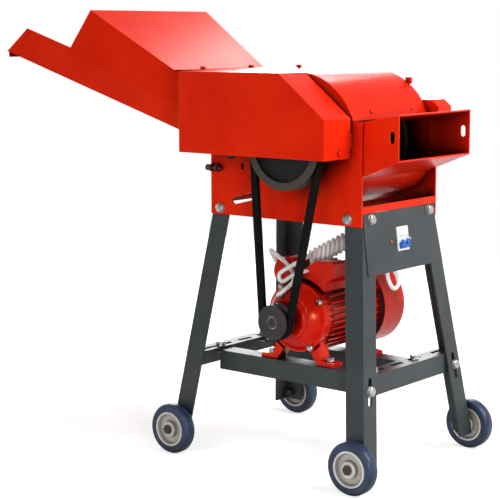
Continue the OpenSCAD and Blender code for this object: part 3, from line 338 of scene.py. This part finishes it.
# %% Plastics
def moulded(name, deep, bright, rough, grain=0.8, depth=0.01, painted_shade=None):
    """An even plastic. Only what collects dirt gets a darker colour in its corners, for dirt and painted
    shade.
    """
    vary = 0.04
    return make_finish(name, (deep, bright), (40, 2.0, EVEN), (9, 2.0, rough - vary, rough + vary),
                       (grain, 2.0, depth), painted_shade, space=(0.35, 0.95))


# Nylon: a warm off-white, satin, greyer in the corners of the web from dirt and painted shade
nylon_rim = moulded("moulded_pale_nylon_rim", "#CFCBC4", "#E2DFD9", 0.34, 1.5, 0.02, ("#6E665E", 30))
# Polyamide: a cool, even white with a faint shine
white_case = moulded("moulded_white_polyamide", "#E4E6E6", "#EFF0EF", 0.38)
# Polycarbonate: a clean blue with small sharp highlights
blue_toggle = moulded("moulded_blue_polycarbonate", "#0A55AA", "#0C66C4", 0.28)
# PVC sheath: nearly pure white, soft and slightly wavy over the cores inside
white_sheath = moulded("white_pvc_sheath", "#F0EEEC", "#FAF9F7", 0.40, 2.0, 0.03)
print("materials now, with the frame's own:", len(bpy.data.materials))

# %% [markdown]
# ## Routes of the two leads
# The supply lead leaves a gland in the terminal box, hangs in a loop, is wound into a small coil that
# lies on the box's sloping lid, and goes up behind the panel to the breaker. A second short lead runs
# from the motor's front bell over the capacitor cover. Both are 7.8 mm white three-core leads. A route
# could be drawn by hand as a curve, but points in millimetres can be checked against the machine, and
# a smooth line through them bends like a cord. The coil is a slanting helix, so a formula gives it.

# %% Cord routes
CORD_R = 0.0039
COIL_TURNS, COIL_R, COIL_STEPS = 9, 15, 24
COIL_AT = Vector((-29.6, -58, 389))
COIL_PITCH = Vector((6.7, 5.5, 4.6))
COIL_DEEP = Vector((-0.635, 0.773, 0))
CURVE_STEPS = 3
SUPPLY_IN = [(-29.2, -58.5, 404), (-22, -67.5, 404), (-14, -80, 403), (-9, -94, 401),
             (-9, -107, 398), (-13, -117, 393), (-22, -124, 387), (-34, -125, 380), (-46, -125, 373),
             (-53, -125, 366), (-53, -125, 358), (-47, -124.5, 354), (-39, -124, 356),
             (-30, -122, 363), (-21, -118, 369), (-13, -111, 373), (-10, -103, 374), (-10, -94.3, 374)]
SUPPLY_OUT = [(30.3, -8, 445.4), (24, -0.5, 446), (16, 12, 445), (14, 26, 440), (24, 38, 431),
              (42, 44, 420), (62, 44, 408), (82, 38, 396), (98, 28, 385), (108, 23, 372),
              (112, 27, 359), (114, 27, 348), (115, 20, 340), (115, 10, 340), (115, 0, 348),
              (115, -8, 360), (114, -10, 373), (113, -9, 385), (113, -9, 394)]
MOTOR_RUN = [(-46, -129.4, 329), (-46, -137, 329), (-42, -143, 331), (-34, -143, 336),
             (-29, -135, 343), (-27, -124, 349), (-28, -113, 356), (-34, -106, 366), (-45, -101, 376),
             (-59, -98, 386), (-74, -97.5, 394), (-89, -95, 401), (-103, -87, 404), (-112, -76, 400),
             (-116, -65, 390), (-113, -57, 377), (-105, -54, 368), (-95, -54, 366)]


def coil_point(turn):
    around = math.radians(90 - 360 * turn)
    return COIL_AT + COIL_PITCH * turn + COIL_R * (math.cos(around) * COIL_DEEP
                                                   + math.sin(around) * Vector(UP))


def smooth_line(points):
    """A curve through every point, so that a route of few points bends like a cord."""
    pts = [Vector(p) for p in points]
    pts = [2 * pts[0] - pts[1]] + pts + [2 * pts[-1] - pts[-2]]
    line = []
    for a, b, c, d in zip(pts, pts[1:], pts[2:], pts[3:]):
        for k in range(CURVE_STEPS):
            t = k / CURVE_STEPS
            line.append(0.5 * (2 * b + (c - a) * t + (2 * a - 5 * b + 4 * c - d) * t * t
                               + (3 * b - a - 3 * c + d) * t ** 3))
    return line + [pts[-2]]


def run_length(line):
    return sum((b - a).length for a, b in zip(line, line[1:]))


coil_line = [coil_point(i / COIL_STEPS) for i in range(COIL_STEPS * COIL_TURNS + 1)]
supply_line = in_metres(smooth_line(SUPPLY_IN[::-1])[:-1] + coil_line + smooth_line(SUPPLY_OUT)[1:])
motor_line = in_metres(smooth_line(MOTOR_RUN))
print("supply lead", round(run_length(supply_line), 3), "m, motor lead",
      round(run_length(motor_line), 3), "m")

# %% [markdown]
# ## A skin over rings of points
# A cord's sheath, a turned washer and an extruded toggle have one thing in common: rings of points, one
# after another, with faces between them. Primitives would need trimming and joining, so one function
# lays the skin, and caps it at both ends or closes it on itself. Each finished piece then gets its
# finish, its sharp edges and the body that it rides on.

# %% Skin and placing
MERGE = 1e-6            # metres
CREASE = math.radians(35)


def as_mesh(made, name):
    mesh = bpy.data.meshes.new(name)
    made.to_mesh(mesh)
    made.free()
    return mesh


def skin(name, rings, closes=False):
    """A mesh over rings of points, capped at both ends or closed on itself as a washer is."""
    made = bmesh.new()
    rows = [[made.verts.new(point) for point in ring] for ring in rings]
    for low, high in zip(rows, rows[1:] + rows[:1] if closes else rows[1:]):
        for k in range(len(low)):
            n = (k + 1) % len(low)
            made.faces.new((low[k], low[n], high[n], high[k]))
    if not closes:
        made.faces.new(rows[0][::-1])
        made.faces.new(rows[-1])
    bmesh.ops.remove_doubles(made, verts=made.verts, dist=MERGE)
    bmesh.ops.recalc_face_normals(made, faces=made.faces)
    return as_mesh(made, name)


def place_piece(name, mesh, finish, body, stands_for=()):
    """Links a finished mesh into the scene, smooth with its sharp edges kept, riding on a body."""
    mesh.materials.clear()
    mesh.materials.append(finish)
    mesh.shade_smooth()
    mesh.set_sharp_from_angle(angle=CREASE)
    piece = bpy.data.objects.new(name, mesh)
    bpy.context.scene.collection.objects.link(piece)
    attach(piece, body)
    if stands_for:
        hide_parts(*stands_for)
    print("piece:", name, "with", len(mesh.polygons), "faces, on", body)
    return piece


print("creases are kept above", round(math.degrees(CREASE)), "degrees")

# %% [markdown]
# ## The leads
# A lead is a round sheath of one diameter. A curve with a bevel depth would also do, but rings laid
# along the line can be carried without twisting, since a twist would pinch the sheath where the lead
# turns. Both leads go back into the machine at their far ends, so neither has a plug, and the frame's
# own solids for them are replaced.

# %% Leads
def circle(sides):
    return [2 * math.pi * k / sides for k in range(sides)]


def tube_mesh(name, line, radius, sides=14):
    """A closed tube; each ring's direction follows from the ring before it."""
    normal = Vector((0, 0.02, 1))
    rings = []
    for i, point in enumerate(line):
        ahead = (line[min(i + 1, len(line) - 1)] - line[max(i - 1, 0)]).normalized()
        normal = (normal - ahead * normal.dot(ahead)).normalized()
        other = ahead.cross(normal)
        rings.append([point + radius * (math.cos(a) * normal + math.sin(a) * other)
                      for a in circle(sides)])
    return skin(name, rings)


supply = place_piece("supply_cord", tube_mesh("supply_cord", supply_line, CORD_R), white_sheath,
                     "frame", ["cord_coil", "supply_lead"])
motor_cord = place_piece("motor_cord", tube_mesh("motor_cord", motor_line, CORD_R), white_sheath,
                         "frame", ["motor_lead"])

# %% [markdown]
# ## The studio around it
# The photograph is a studio cut-out: a lit white sweep behind the machine, a big softbox high on the
# outlet side, little light from the room behind the camera. So faces that mirror the sweep look pale,
# and the belt side, which mirrors the room, stays deep red. The world is therefore bright towards the
# sweep and dim towards the camera, but only for rays that a shiny face sends out. What the camera sees
# as white is a separate colour on camera rays, so it adds no light to the paint.

# %% World
SWEEP_WAY = (-0.635, 0.772, 0.25)
SWEEP_FROM, SWEEP_TO = -0.35, 0.25      # along that way
CEILING_FROM, CEILING_TO = 0.2, 0.6     # upwards
ROOM_LIGHT, CEILING_LIGHT, FALLING_LIGHT = 0.22, 0.3, 0.16

scene = bpy.context.scene
scene.view_settings.view_transform = "Standard"
world = bpy.data.worlds.new("studio")
world.use_nodes = True
tree = world.node_tree
tree.nodes.clear()
looking = add(tree, "ShaderNodeTexCoord").outputs["Generated"]
ahead = add(tree, "ShaderNodeVectorMath", {0: looking, 1: SWEEP_WAY},
            operation="DOT_PRODUCT").outputs["Value"]
sweep = add(tree, "ShaderNodeMapRange", {"Value": ahead, "From Min": SWEEP_FROM,
                                         "From Max": SWEEP_TO, "To Min": ROOM_LIGHT, "To Max": 1.0},
            interpolation_type="SMOOTHSTEP").outputs["Result"]
height = add(tree, "ShaderNodeSeparateXYZ", {"Vector": looking}).outputs["Z"]
ceiling = add(tree, "ShaderNodeMapRange", {
    "Value": height, "From Min": CEILING_FROM, "From Max": CEILING_TO, "To Min": 1.0,
    "To Max": CEILING_LIGHT}).outputs["Result"]
studio = add(tree, "ShaderNodeMath", {0: sweep, 1: ceiling}, operation="MULTIPLY").outputs[0]
mirrored, falling, white = [
    add(tree, "ShaderNodeBackground", {"Color": WHITE, "Strength": strength}).outputs[0]
    for strength in (studio, FALLING_LIGHT, 1.0)]
rays = add(tree, "ShaderNodeLightPath").outputs
shiny = add(tree, "ShaderNodeMath", {0: rays["Is Glossy Ray"], 1: rays["Is Transmission Ray"]},
            operation="MAXIMUM").outputs[0]
lit = add(tree, "ShaderNodeMixShader", {0: shiny, 1: falling, 2: mirrored}).outputs[0]
seen = add(tree, "ShaderNodeMixShader", {0: rays["Is Camera Ray"], 1: lit, 2: white}).outputs[0]
add(tree, "ShaderNodeOutputWorld", {"Surface": seen})
scene.world = world
print("world: room", ROOM_LIGHT, "of the sweep, falling light", FALLING_LIGHT)

# %% [markdown]
# ## Floor
# The machine stands on white paper that takes its shadow. Paper alone would show grey where the light
# falls off, so it gets a little glow of its own, only on camera rays, which leaves the shadow there.

# %% Floor
PAPER_HALF = 2.2
PAPER_GLOW = 0.55

floor_mesh = bpy.data.meshes.new("floor")
floor_mesh.from_pydata([(x * PAPER_HALF, y * PAPER_HALF, 0)
                        for x, y in ((-1, -1), (1, -1), (1, 1), (-1, 1))], [], [(0, 1, 2, 3)])
floor = bpy.data.objects.new("floor", floor_mesh)
scene.collection.objects.link(floor)
paper = bpy.data.materials.new("white_paper_sweep")
paper.use_nodes = True
tree = paper.node_tree
tree.nodes.clear()
matt = add(tree, "ShaderNodeBsdfDiffuse", {"Color": linear("#E6E6E6"), "Roughness": 0.6}).outputs[0]
to_camera = add(tree, "ShaderNodeLightPath").outputs["Is Camera Ray"]
dark, glow = [add(tree, "ShaderNodeEmission", {"Color": WHITE, "Strength": strength}).outputs[0]
              for strength in (0.0, to_camera)]
lift = add(tree, "ShaderNodeMixShader", {0: PAPER_GLOW, 1: dark, 2: glow}).outputs[0]
both = add(tree, "ShaderNodeAddShader", {0: matt, 1: lift}).outputs[0]
add(tree, "ShaderNodeOutputMaterial", {"Surface": both})
floor_mesh.materials.append(paper)
print("floor is", 2 * PAPER_HALF, "m wide")

# %% [markdown]
# ## Softboxes
# One large box high on the outlet side gives the drum cover and the chute their bright tops. Weaker
# ones fill the top and the belt side. Two small ones low in front reach what faces down, such as the
# chute's underside, and leave its inside dark. The last two stand behind and draw the pale edges.

# %% Softboxes
SOFTBOXES = [       # name, place, what it is aimed at, width, height, watts
    ("outlet_side_softbox", (2.5, 0.55, 2.2), (0.1, 0, 0.5), 1.6, 1.6, 84),
    ("overhead_softbox", (-0.3, 0.4, 3.0), (0.1, 0, 0.4), 2.0, 1.4, 22),
    ("belt_side_fill", (0.4, -3.6, 1.5), (0, 0, 0.5), 1.6, 1.2, 28),
    ("low_front_softbox", (1.5, -2.4, 0.35), (0.2, 0, 0.3), 0.45, 0.6, 4),
    ("low_outlet_softbox", (1.85, -1.5, 0.42), (0.25, -0.05, 0.3), 0.4, 0.4, 13),
    ("sweep_softbox", (-2.0, 2.7, 1.25), (0, 0, 0.7), 2.4, 0.9, 55),
    ("back_softbox", (-0.32, 1.05, 1.65), (-0.1, 0, 0.8), 0.4, 0.5, 3.6),
]
for name, at, aim, width, height, watts in SOFTBOXES:
    lamp = bpy.data.lights.new(name, "AREA")
    lamp.shape = "RECTANGLE"
    lamp.size, lamp.size_y, lamp.energy = width, height, watts
    softbox = bpy.data.objects.new(name, lamp)
    softbox.location = at
    softbox.rotation_euler = (Vector(aim) - Vector(at)).to_track_quat("-Z", "Y").to_euler()
    scene.collection.objects.link(softbox)
print(len(SOFTBOXES), "softboxes,", sum(box[-1] for box in SOFTBOXES), "W in all")

# %% [markdown]
# ## Dressing the frame's solids
# A CAD solid has knife-sharp edges and loose triangles. Real folded sheet has a small bend radius and
# paint softens every edge, which is what catches the light. A Bevel modifier could round the edges, but
# it would also round the seams between loose triangles. So each visible solid gets a copy: its
# triangles are merged, flat faces are made one, and only real corners are rounded. The copy stands for
# its node. Weighted normals keep the big flat faces flat.

# %% Dressing
CAD_MERGE = 1e-5        # metres
FLAT, CORNER, FOLD_CREASE = math.radians(0.4), 30, math.radians(38)


def round_edges(made, edge_mm, steps=2, sharper_than=None):
    """Rounds a form's edges: all of them, or only the corners that turn by more than an angle."""
    edges = made.edges[:] if sharper_than is None else [
        e for e in made.edges
        if len(e.link_faces) == 2 and e.calc_face_angle(0) > math.radians(sharper_than)]
    bmesh.ops.bevel(made, geom=edges, offset=edge_mm / 1000, segments=steps, profile=0.5,
                    affect="EDGES", clamp_overlap=True)


def dressed(node, finish, edge_mm, reshape=None):
    """A finished copy of a node's solid, which stands for it and rides on its body."""
    made = bmesh.new()
    made.from_mesh(frame["nodes"][node].data)
    bmesh.ops.remove_doubles(made, verts=made.verts, dist=CAD_MERGE)
    if reshape:
        reshape(made.verts)
    bmesh.ops.dissolve_limit(made, angle_limit=FLAT, verts=made.verts, edges=made.edges)
    if edge_mm:
        round_edges(made, edge_mm, sharper_than=CORNER)
    mesh = as_mesh(made, node + "_dressed")
    mesh.shade_smooth()
    mesh.set_sharp_from_angle(angle=FOLD_CREASE)
    mesh.materials.append(finish)
    piece = bpy.data.objects.new(node + "_dressed", mesh)
    scene.collection.objects.link(piece)
    weigh = piece.modifiers.new("flat faces", "WEIGHTED_NORMAL")
    weigh.keep_sharp = True
    done = bpy.data.meshes.new_from_object(piece.evaluated_get(
        bpy.context.evaluated_depsgraph_get()))
    piece.modifiers.remove(weigh)
    piece.data = done
    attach(piece, BODY_OF[node])
    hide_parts(node)
    return piece


print("ready to dress", len(BODY_OF), "solids")

# %% [markdown]
# ## Sheet metal, stand, motor, drive and wheels
# What stands where is the frame's business, so this step is a table: which finish, how large a radius,
# which solids. Folded sheet and angle iron turn with 1.2 to 1.4 mm, turned and moulded parts with less,
# and gear teeth and knives stay crisp. The breaker's face stands only 4.5 mm in front of the panel, so
# what is further out is pressed back to it.

# %% Dress the solids
PANEL_OUT = Vector(LEG_WAY)
PANEL_UP = Vector((-LEG_WAY[2], 0, LEG_WAY[0]))
TOGGLE_AXIS = Vector((0.393934, 0, 0.433198))   # in the frame's metres
AXIS_OUT, BREAKER_OUT = 0.006, 0.0045           # of the toggles' axis and of the case, from the panel


def press_back(verts):
    for vert in verts:
        out = (vert.co - TOGGLE_AXIS).dot(PANEL_OUT) + AXIS_OUT
        if out > BREAKER_OUT:
            vert.co -= PANEL_OUT * (out - BREAKER_OUT)


CORNERS = ("rear_near", "rear_far", "front_near", "front_far")
DRESSES = [         # finish, radius in mm, solids
    (red_coat, 1.2, ["side_plate_near", "side_plate_far", "front_strip", "top_plate", "drum_cover",
                     "drum_pan", "discharge_chute", "feed_trough", "feed_hood", "belt_guard"]),
    (red_coat_short_shade, 1.2, ["gear_cover"]),
    (grey_coat, 1.4, ["leg_" + corner for corner in CORNERS]
     + ["cross_beam_rear", "cross_beam_front", "motor_rail_near", "motor_rail_far", "switch_panel"]),
    (white_case, 0.8, ["breaker_body"]),
    (shade_black_iron, 1.2, ["bearing_housings", "rotor_discs"]),
    (grey_iron, 1.2, ["upper_bearing_blocks"]),
    (grey_iron, 0.0, ["idler_gears", "lower_roller", "lower_roller_gears", "upper_roller",
                      "upper_roller_gear"]),
    (tool_steel, 0.0, ["bed_knife", "rotor_knives", "rotor_shaft", "idler_stud", "motor_shaft",
                       "pressure_springs"]),
    (pulley_iron, 0.8, ["motor_pulley"]),
    (wheel_iron, 0.8, ["large_pulley"]),
    (belt_rubber, 0.8, ["v_belt"]),
    (red_enamel, 1.2, ["motor_frame", "motor_front_bell", "motor_rear_bell", "fan_cowl",
                       "terminal_box", "capacitor_cover"]),
    (fan_nylon, 0.6, ["motor_fan"]),
    (nylon_rim, 0.8, ["rim_" + corner for corner in CORNERS]),
    (oiled_steel, 0.6, ["wheel_axles"]),
    (navy_tyre, 0.8, ["tyre_" + corner for corner in CORNERS]),
]
RESHAPED = {"breaker_body": press_back}
shown = {node: dressed(node, finish, edge_mm, RESHAPED.get(node))
         for finish, edge_mm, nodes in DRESSES for node in nodes}
print("dressed", len(shown), "solids")

# %% [markdown]
# ## The springs' own mesh
# Two springs press the upper feed roller down. When stalks lift it, they shorten by the carrier's 6 mm
# and stay seated under the top plate. Here their dressed piece is given a mesh of its own.

springs = shown["pressure_springs"]
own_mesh(springs)

# %% [markdown]
# ## Bolts from one recipe
# Every fastener is the same idea: a washer, a six-sided head with its corners turned off, a shank and
# sometimes a nut. Each could be modelled where it sits, but then one change of size means dozens of edits.
# A Geometry Nodes tree builds one bolt from its sizes and puts a copy on each seat, each turned by its
# own amount about its axis, because nobody lines up bolt heads with a spanner. The seed is fixed, so
# that they are turned the same way on each run.

# %% Bolt recipe
SIZES = ("Across Flats", "Head Height", "Washer Height", "Shank Radius", "Shank Length", "Nut Height")
SIXTH_TURN = 1.047
SEED = 7


def bolt_recipe():
    tree = bpy.data.node_groups.new("bolts_on_seats", "GeometryNodeTree")
    face = tree.interface
    face.new_socket("Seats", in_out="INPUT", socket_type="NodeSocketGeometry")
    for name in SIZES:
        face.new_socket(name, in_out="INPUT", socket_type="NodeSocketFloat")
    face.new_socket("Finish", in_out="INPUT", socket_type="NodeSocketMaterial")
    face.new_socket("Bolts", in_out="OUTPUT", socket_type="NodeSocketGeometry")
    given = tree.nodes.new("NodeGroupInput").outputs
    size = {name: given[name] for name in SIZES}
    for name, source, operation, by in (
            ("corner", "Across Flats", "MULTIPLY", 0.577), ("rim", "Across Flats", "MULTIPLY", 0.62),
            ("rim top", "Across Flats", "MULTIPLY", 0.61), ("flat", "Head Height", "MULTIPLY", 0.78),
            ("slope", "Head Height", "MULTIPLY", 0.22), ("crown", "corner", "MULTIPLY", 0.84),
            ("shoulder", "Washer Height", "ADD", "flat"), ("below", "Shank Length", "MULTIPLY", -1.0)):
        size[name] = add(tree, "ShaderNodeMath", {0: size[source], 1: size.get(by, by)},
                         operation=operation).outputs[0]

    whole = tree.nodes.new("GeometryNodeJoinGeometry")
    for sides, low, high, tall, base in (       # washer, head, its sloping crown, shank, nut
            (40, "rim", "rim top", "Washer Height", None),
            (6, "corner", "corner", "flat", "Washer Height"),
            (6, "corner", "crown", "slope", "shoulder"),
            (24, "Shank Radius", "Shank Radius", "Shank Length", "below"),
            (6, "corner", "corner", "Nut Height", "below")):
        cone = add(tree, "GeometryNodeMeshCone", {"Vertices": sides, "Radius Bottom": size[low],
                                                  "Radius Top": size[high], "Depth": size[tall]})
        lift = add(tree, "ShaderNodeCombineXYZ", {"Z": size[base] if base else 0.0})
        part = add(tree, "GeometryNodeTransform", {"Geometry": cone.outputs["Mesh"],
                                                   "Translation": lift.outputs[0]})
        tree.links.new(part.outputs[0], whole.inputs["Geometry"])

    way = add(tree, "GeometryNodeInputNamedAttribute", {"Name": "turn"}, data_type="FLOAT_VECTOR")
    placed = add(tree, "GeometryNodeInstanceOnPoints", {
        "Points": given["Seats"], "Instance": whole.outputs[0],
        "Rotation": way.outputs["Attribute"]}).outputs[0]
    chance = add(tree, "FunctionNodeRandomValue", {2: 0.0, 3: SIXTH_TURN, "Seed": SEED},
                 data_type="FLOAT")
    spin = add(tree, "ShaderNodeCombineXYZ", {"Z": chance.outputs[1]})
    spun = add(tree, "GeometryNodeRotateInstances", {"Instances": placed,
                                                     "Rotation": spin.outputs[0]}).outputs[0]
    real = add(tree, "GeometryNodeRealizeInstances", {"Geometry": spun}).outputs[0]
    done = add(tree, "GeometryNodeSetMaterial", {"Geometry": real, "Material": given["Finish"]})
    tree.links.new(done.outputs[0], tree.nodes.new("NodeGroupOutput").inputs["Bolts"])
    return tree


BOLTS = bolt_recipe()
print("bolt recipe has", len(BOLTS.nodes), "nodes")

# %% [markdown]
# ## From seats to fasteners
# A seat is a point and the direction that the bolt's head faces. The recipe runs on a carrier mesh with
# one vertex for each seat, its result becomes a plain mesh, and all the bolts on one body become one
# piece. A last small chamfer gives each head the bright rim that a forged and plated head has.

# %% Fasteners
LEAST_NUT = 0.01        # mm, for a bolt without one


def bolts_mesh(finish, seats, across, head, shank, long, nut=0.0, washer=1.5):
    """Runs the recipe on seats given as (point, direction); sizes in millimetres."""
    carrier = bpy.data.meshes.new("seats")
    carrier.from_pydata(in_metres([point for point, _ in seats]), [], [])
    turn = carrier.attributes.new("turn", "FLOAT_VECTOR", "POINT")
    for slot, (_, way) in zip(turn.data, seats):
        slot.vector = Vector(way).to_track_quat("Z", "Y").to_euler()
    holder = bpy.data.objects.new("seats", carrier)
    scene.collection.objects.link(holder)
    recipe = holder.modifiers.new("bolts", "NODES")
    recipe.node_group = BOLTS
    sizes = {name: value / 1000 for name, value in
             zip(SIZES, (across, head, washer, shank, long, max(nut, LEAST_NUT)))}
    sizes["Finish"] = finish
    for item in BOLTS.interface.items_tree:
        if item.in_out == "INPUT" and item.name in sizes:
            recipe[item.identifier] = sizes[item.name]
    made = bpy.data.meshes.new_from_object(holder.evaluated_get(
        bpy.context.evaluated_depsgraph_get()))
    bpy.data.objects.remove(holder)
    return made


def fasteners(name, finish, batches, stands_for=()):
    """One plain mesh of all the bolts, with the edges taken off."""
    made = bmesh.new()
    for batch in batches:
        made.from_mesh(bolts_mesh(finish, *batch))
    round_edges(made, 0.3, steps=1, sharper_than=20)
    place_piece(name, as_mesh(made, name), finish, "frame", stands_for)


print("a fastener is set by", ", ".join(SIZES).lower())

# %% [markdown]
# ## Bolts of the stand
# M10 bolts hold the body to its legs and the panel to the body. Two more run in the legs' slots, which
# let a fitter level the cross beams, and four hold the motor rails, with their nuts below. The seats
# come in pairs, one on the belt side and one on the gear side.

# %% Stand's bolts
SIDES = (-1, 1)         # the belt side and the gear side
M10, M8 = (16, 6, 5), (13, 5, 4)        # across flats, head height, shank radius
BOLT_LINE, SLOT_LINE = 482.5, 178       # heights of the bolts in the body and in the slots
SIDE_FACE, PANEL_BOLT_Y, SLOT_BOLT_Y = 124, 96, 143.24
PANEL_THICK, SLOT_GAP = 2.2, 0.1
RAIL_BOLT_X, RAIL_BOLT_Y, RAIL_TOP = (-228.58, 140.58), (-91, 45), 202

side_seats = [((x, s * SIDE_FACE, BOLT_LINE), (0, s, 0)) for x in (-198, 104) for s in SIDES]
panel_seats = [((leg_face(BOLT_LINE) + PANEL_THICK, s * PANEL_BOLT_Y, BOLT_LINE), LEG_WAY)
               for s in SIDES]
slot_seats = [((leg_face(SLOT_LINE) + SLOT_GAP, s * SLOT_BOLT_Y, SLOT_LINE), LEG_WAY) for s in SIDES]
rail_seats = [((x, y, RAIL_TOP), UP) for x in RAIL_BOLT_X for y in RAIL_BOLT_Y]
fasteners("frame_bolts_made", zinc_plate, [
    (side_seats + panel_seats, *M10, 16), (slot_seats, *M10, 12), (rail_seats, *M10, 14, 5)],
    ["frame_bolts"])

# %% [markdown]
# ## Bolts of the motor, the covers and the bearings
# The motor stands on four M8 bolts, and four smaller ones hold its front bell. The covers have painted
# bolts, because they were sprayed with the sheet: three proud ones on the deck, one nearly flush, two
# flat ones on the drum cover's front slope and one on the belt guard. Four bolts on a circle hold each
# bearing housing. Each group follows a rule, a line or a circle, so one line of code places it.

# %% Bolts of motor, covers and bearings
FOOT_HALF, FOOT_BOLT_Y, FOOT_TOP = 69, (-93, 40), 208
BELL_BOLT_R, BELL_FACE, BELL_ANGLES = 65, -110, (32, 122, 212, 302)
DECK_AT = ((-284, 75, 746), (-284, -75, 746), (-180, 100, 747.5))
COVER_X, COVER_Z, COVER_R, COVER_ANGLE = -10, 612, 134, math.radians(28)
HOUSING_BOLT_R, HOUSING_FACE = 46, 134

foot_seats = [((MOTOR_X + s * FOOT_HALF, y, FOOT_TOP), UP) for s in SIDES for y in FOOT_BOLT_Y]
bell_seats = [((MOTOR_X + BELL_BOLT_R * math.cos(a), BELL_FACE, MOTOR_Z + BELL_BOLT_R * math.sin(a)),
               BELT_SIDE) for a in map(math.radians, BELL_ANGLES)]
fasteners("motor_bolts_made", zinc_plate, [(foot_seats, *M8, 20), (bell_seats, 10, 4, 3, 8)],
          ["motor_bolts"])

deck_seats = [(at, UP) for at in DECK_AT]
flush_seat = [((-181, -100, 746), UP)]
slope_way = (math.cos(COVER_ANGLE), 0, math.sin(COVER_ANGLE))
slope_seats = [((COVER_X + COVER_R * slope_way[0], y, COVER_Z + COVER_R * slope_way[2]), slope_way)
               for y in (-60, 74)]
guard_seat = [((113, -166, 605), FORWARDS)]
fasteners("cover_bolts", red_enamel, [
    (deck_seats, 10, 4.5, 3, 7), (flush_seat, 9, 0.7, 3, 7, 0, 0.4), (slope_seats, 6, 1.4, 2, 3, 0, 0.4),
    (guard_seat, 8, 3, 2, 2)])

housing_seats = [((HOUSING_BOLT_R * math.cos(a), s * HOUSING_FACE,
                   ROTOR_Z + HOUSING_BOLT_R * math.sin(a)), (0, s, 0))
                 for a in (math.radians(45 + 90 * k) for k in range(4)) for s in SIDES]
fasteners("housing_bolts", zinc_plate, [(housing_seats, 16, 6, 4.6, 14)])

# %% [markdown]
# ## Turned parts
# A washer and a socket screw hold the motor pulley on its shaft, and two pan-head screws hold the
# breaker. Round parts like these are turned from bar, so here too a half outline is carried round an
# axis, as on a lathe. The screw-cutting isn't seen, so the heads alone are made.

# %% Lathe
def turned(name, finish, body, at, way, outline, sides=40, closes=False):
    """Carries an outline of (radius, height) in millimetres round a direction."""
    turn = Vector(way).to_track_quat("Z", "Y")
    base = in_metres([at])[0]
    rings = [[base + turn @ Vector((r * math.cos(a), r * math.sin(a), h)) / 1000
              for a in circle(sides)] for r, h in outline]
    return place_piece(name, skin(name, rings, closes), finish, body)


PULLEY_FACE = (MOTOR_X, -183, MOTOR_Z)
SCREW_X, SCREW_Z = 140.3, 435.6
WASHER = [(4.2, 0), (10, 0), (10, 1.8), (9.6, 2.2), (4.6, 2.2), (4.2, 1.8)]
SOCKET_SCREW = [(0.01, 0), (4.2, 0), (4.2, 3.2), (3.8, 3.6), (2.2, 3.6), (2.0, 1.2), (0.01, 1.0)]
PAN_HEAD = [(0.01, 0), (3.3, 0), (3.3, 0.4), (2.9, 1.4), (1.8, 2.0), (0.01, 2.1)]
turned("pulley_end_washer", oiled_steel, "motor_rotor", PULLEY_FACE, BELT_SIDE, WASHER)
turned("pulley_end_screw", grey_iron, "motor_rotor", PULLEY_FACE, BELT_SIDE, SOCKET_SCREW)
turned("breaker_screw_near", copper_screw, "frame", (SCREW_X, -36, SCREW_Z), LEG_WAY, PAN_HEAD)
turned("breaker_screw_far", zinc_plate, "frame", (SCREW_X, 24, SCREW_Z), LEG_WAY, PAN_HEAD)

# %% [markdown]
# ## The breaker's toggles
# Two blue prongs stand on one tie bar, so that both poles switch together. They are moulded in one
# piece with a flat side profile, so an outline of a few points is extruded to each one's width. The
# outlines are in millimetres out of the panel and up along it, from the axis that the toggles turn on.

# %% Toggles
TIE_BAR = [(-4, -9.5), (1.8, -12), (3.6, -9.5), (2.6, -5), (-4, -3)]
PRONG = [(-3, -8), (3, -9.5), (5.4, -3), (5, 2.8), (2.6, 4.6), (0.8, 1.5), (-3, -2)]

made = bmesh.new()
for low, high, outline in ((-14.3, 14.3, TIE_BAR), (-12.5, -4.5, PRONG), (4.5, 12.5, PRONG)):
    made.from_mesh(skin("toggle_part", [
        [TOGGLE_AXIS + (PANEL_OUT * x + PANEL_UP * z + Vector((0, y, 0))) / 1000 for x, z in outline]
        for y in (low, high)]))
round_edges(made, 0.7)
place_piece("toggle_pair", as_mesh(made, "toggle_pair"), blue_toggle, "toggle", ["breaker_toggle"])

# %% [markdown]
# ## Small fittings
# A knob on a pin, held by two lugs, sits at the body's rear edge, a short tab stands on the drum cover,
# and a dark ring lines the gap before the fan cowl. The knob and the ring are round, so they are
# turned; the ring's outline closes on itself, which leaves its middle open. Lugs and tab are cut from
# plate, so each starts as a box between two corners and has its edges rounded.

# %% Fittings
def plates(name, finish, boxes):
    """Flat plates given by two opposite corners."""
    made = bmesh.new()
    for low, high in boxes:
        a, b = in_metres([low, high])
        for vert in bmesh.ops.create_cube(made, size=1.0)["verts"]:
            vert.co = (a + b) / 2 + Vector([c * s for c, s in zip(vert.co, b - a)])
    round_edges(made, 0.6)
    return place_piece(name, as_mesh(made, name), finish, "frame")


KNOB_AND_PIN = [(0.01, 0), (3.2, 0.5), (5.4, 2.4), (6.2, 5.5), (5.4, 8.8), (3.6, 10.8), (3.4, 37),
                (2.6, 38), (0.01, 38)]
LUG_THICK = 3
GAP_RING = [(72.4, 0), (79.5, 0), (79.5, 5), (72.4, 5)]
# The knob and lugs take the red enamel darkened as painted shadow of the belt guard
turned("latch_pin", guard_shadow_enamel, "frame", (-229, -131, 560), FORWARDS, KNOB_AND_PIN)
plates("latch_lugs", guard_shadow_enamel, [((x, -136.5, 553), (x + LUG_THICK, -123.6, 567))
                                   for x in (-216, -202)])
plates("cover_tab", red_enamel, [((63, 119.5, 719.5), (76, 123.8, 732))])
turned("cowl_baffle", fan_nylon, "frame", (MOTOR_X, 69, MOTOR_Z), GEAR_SIDE, GAP_RING, sides=72,
       closes=True)
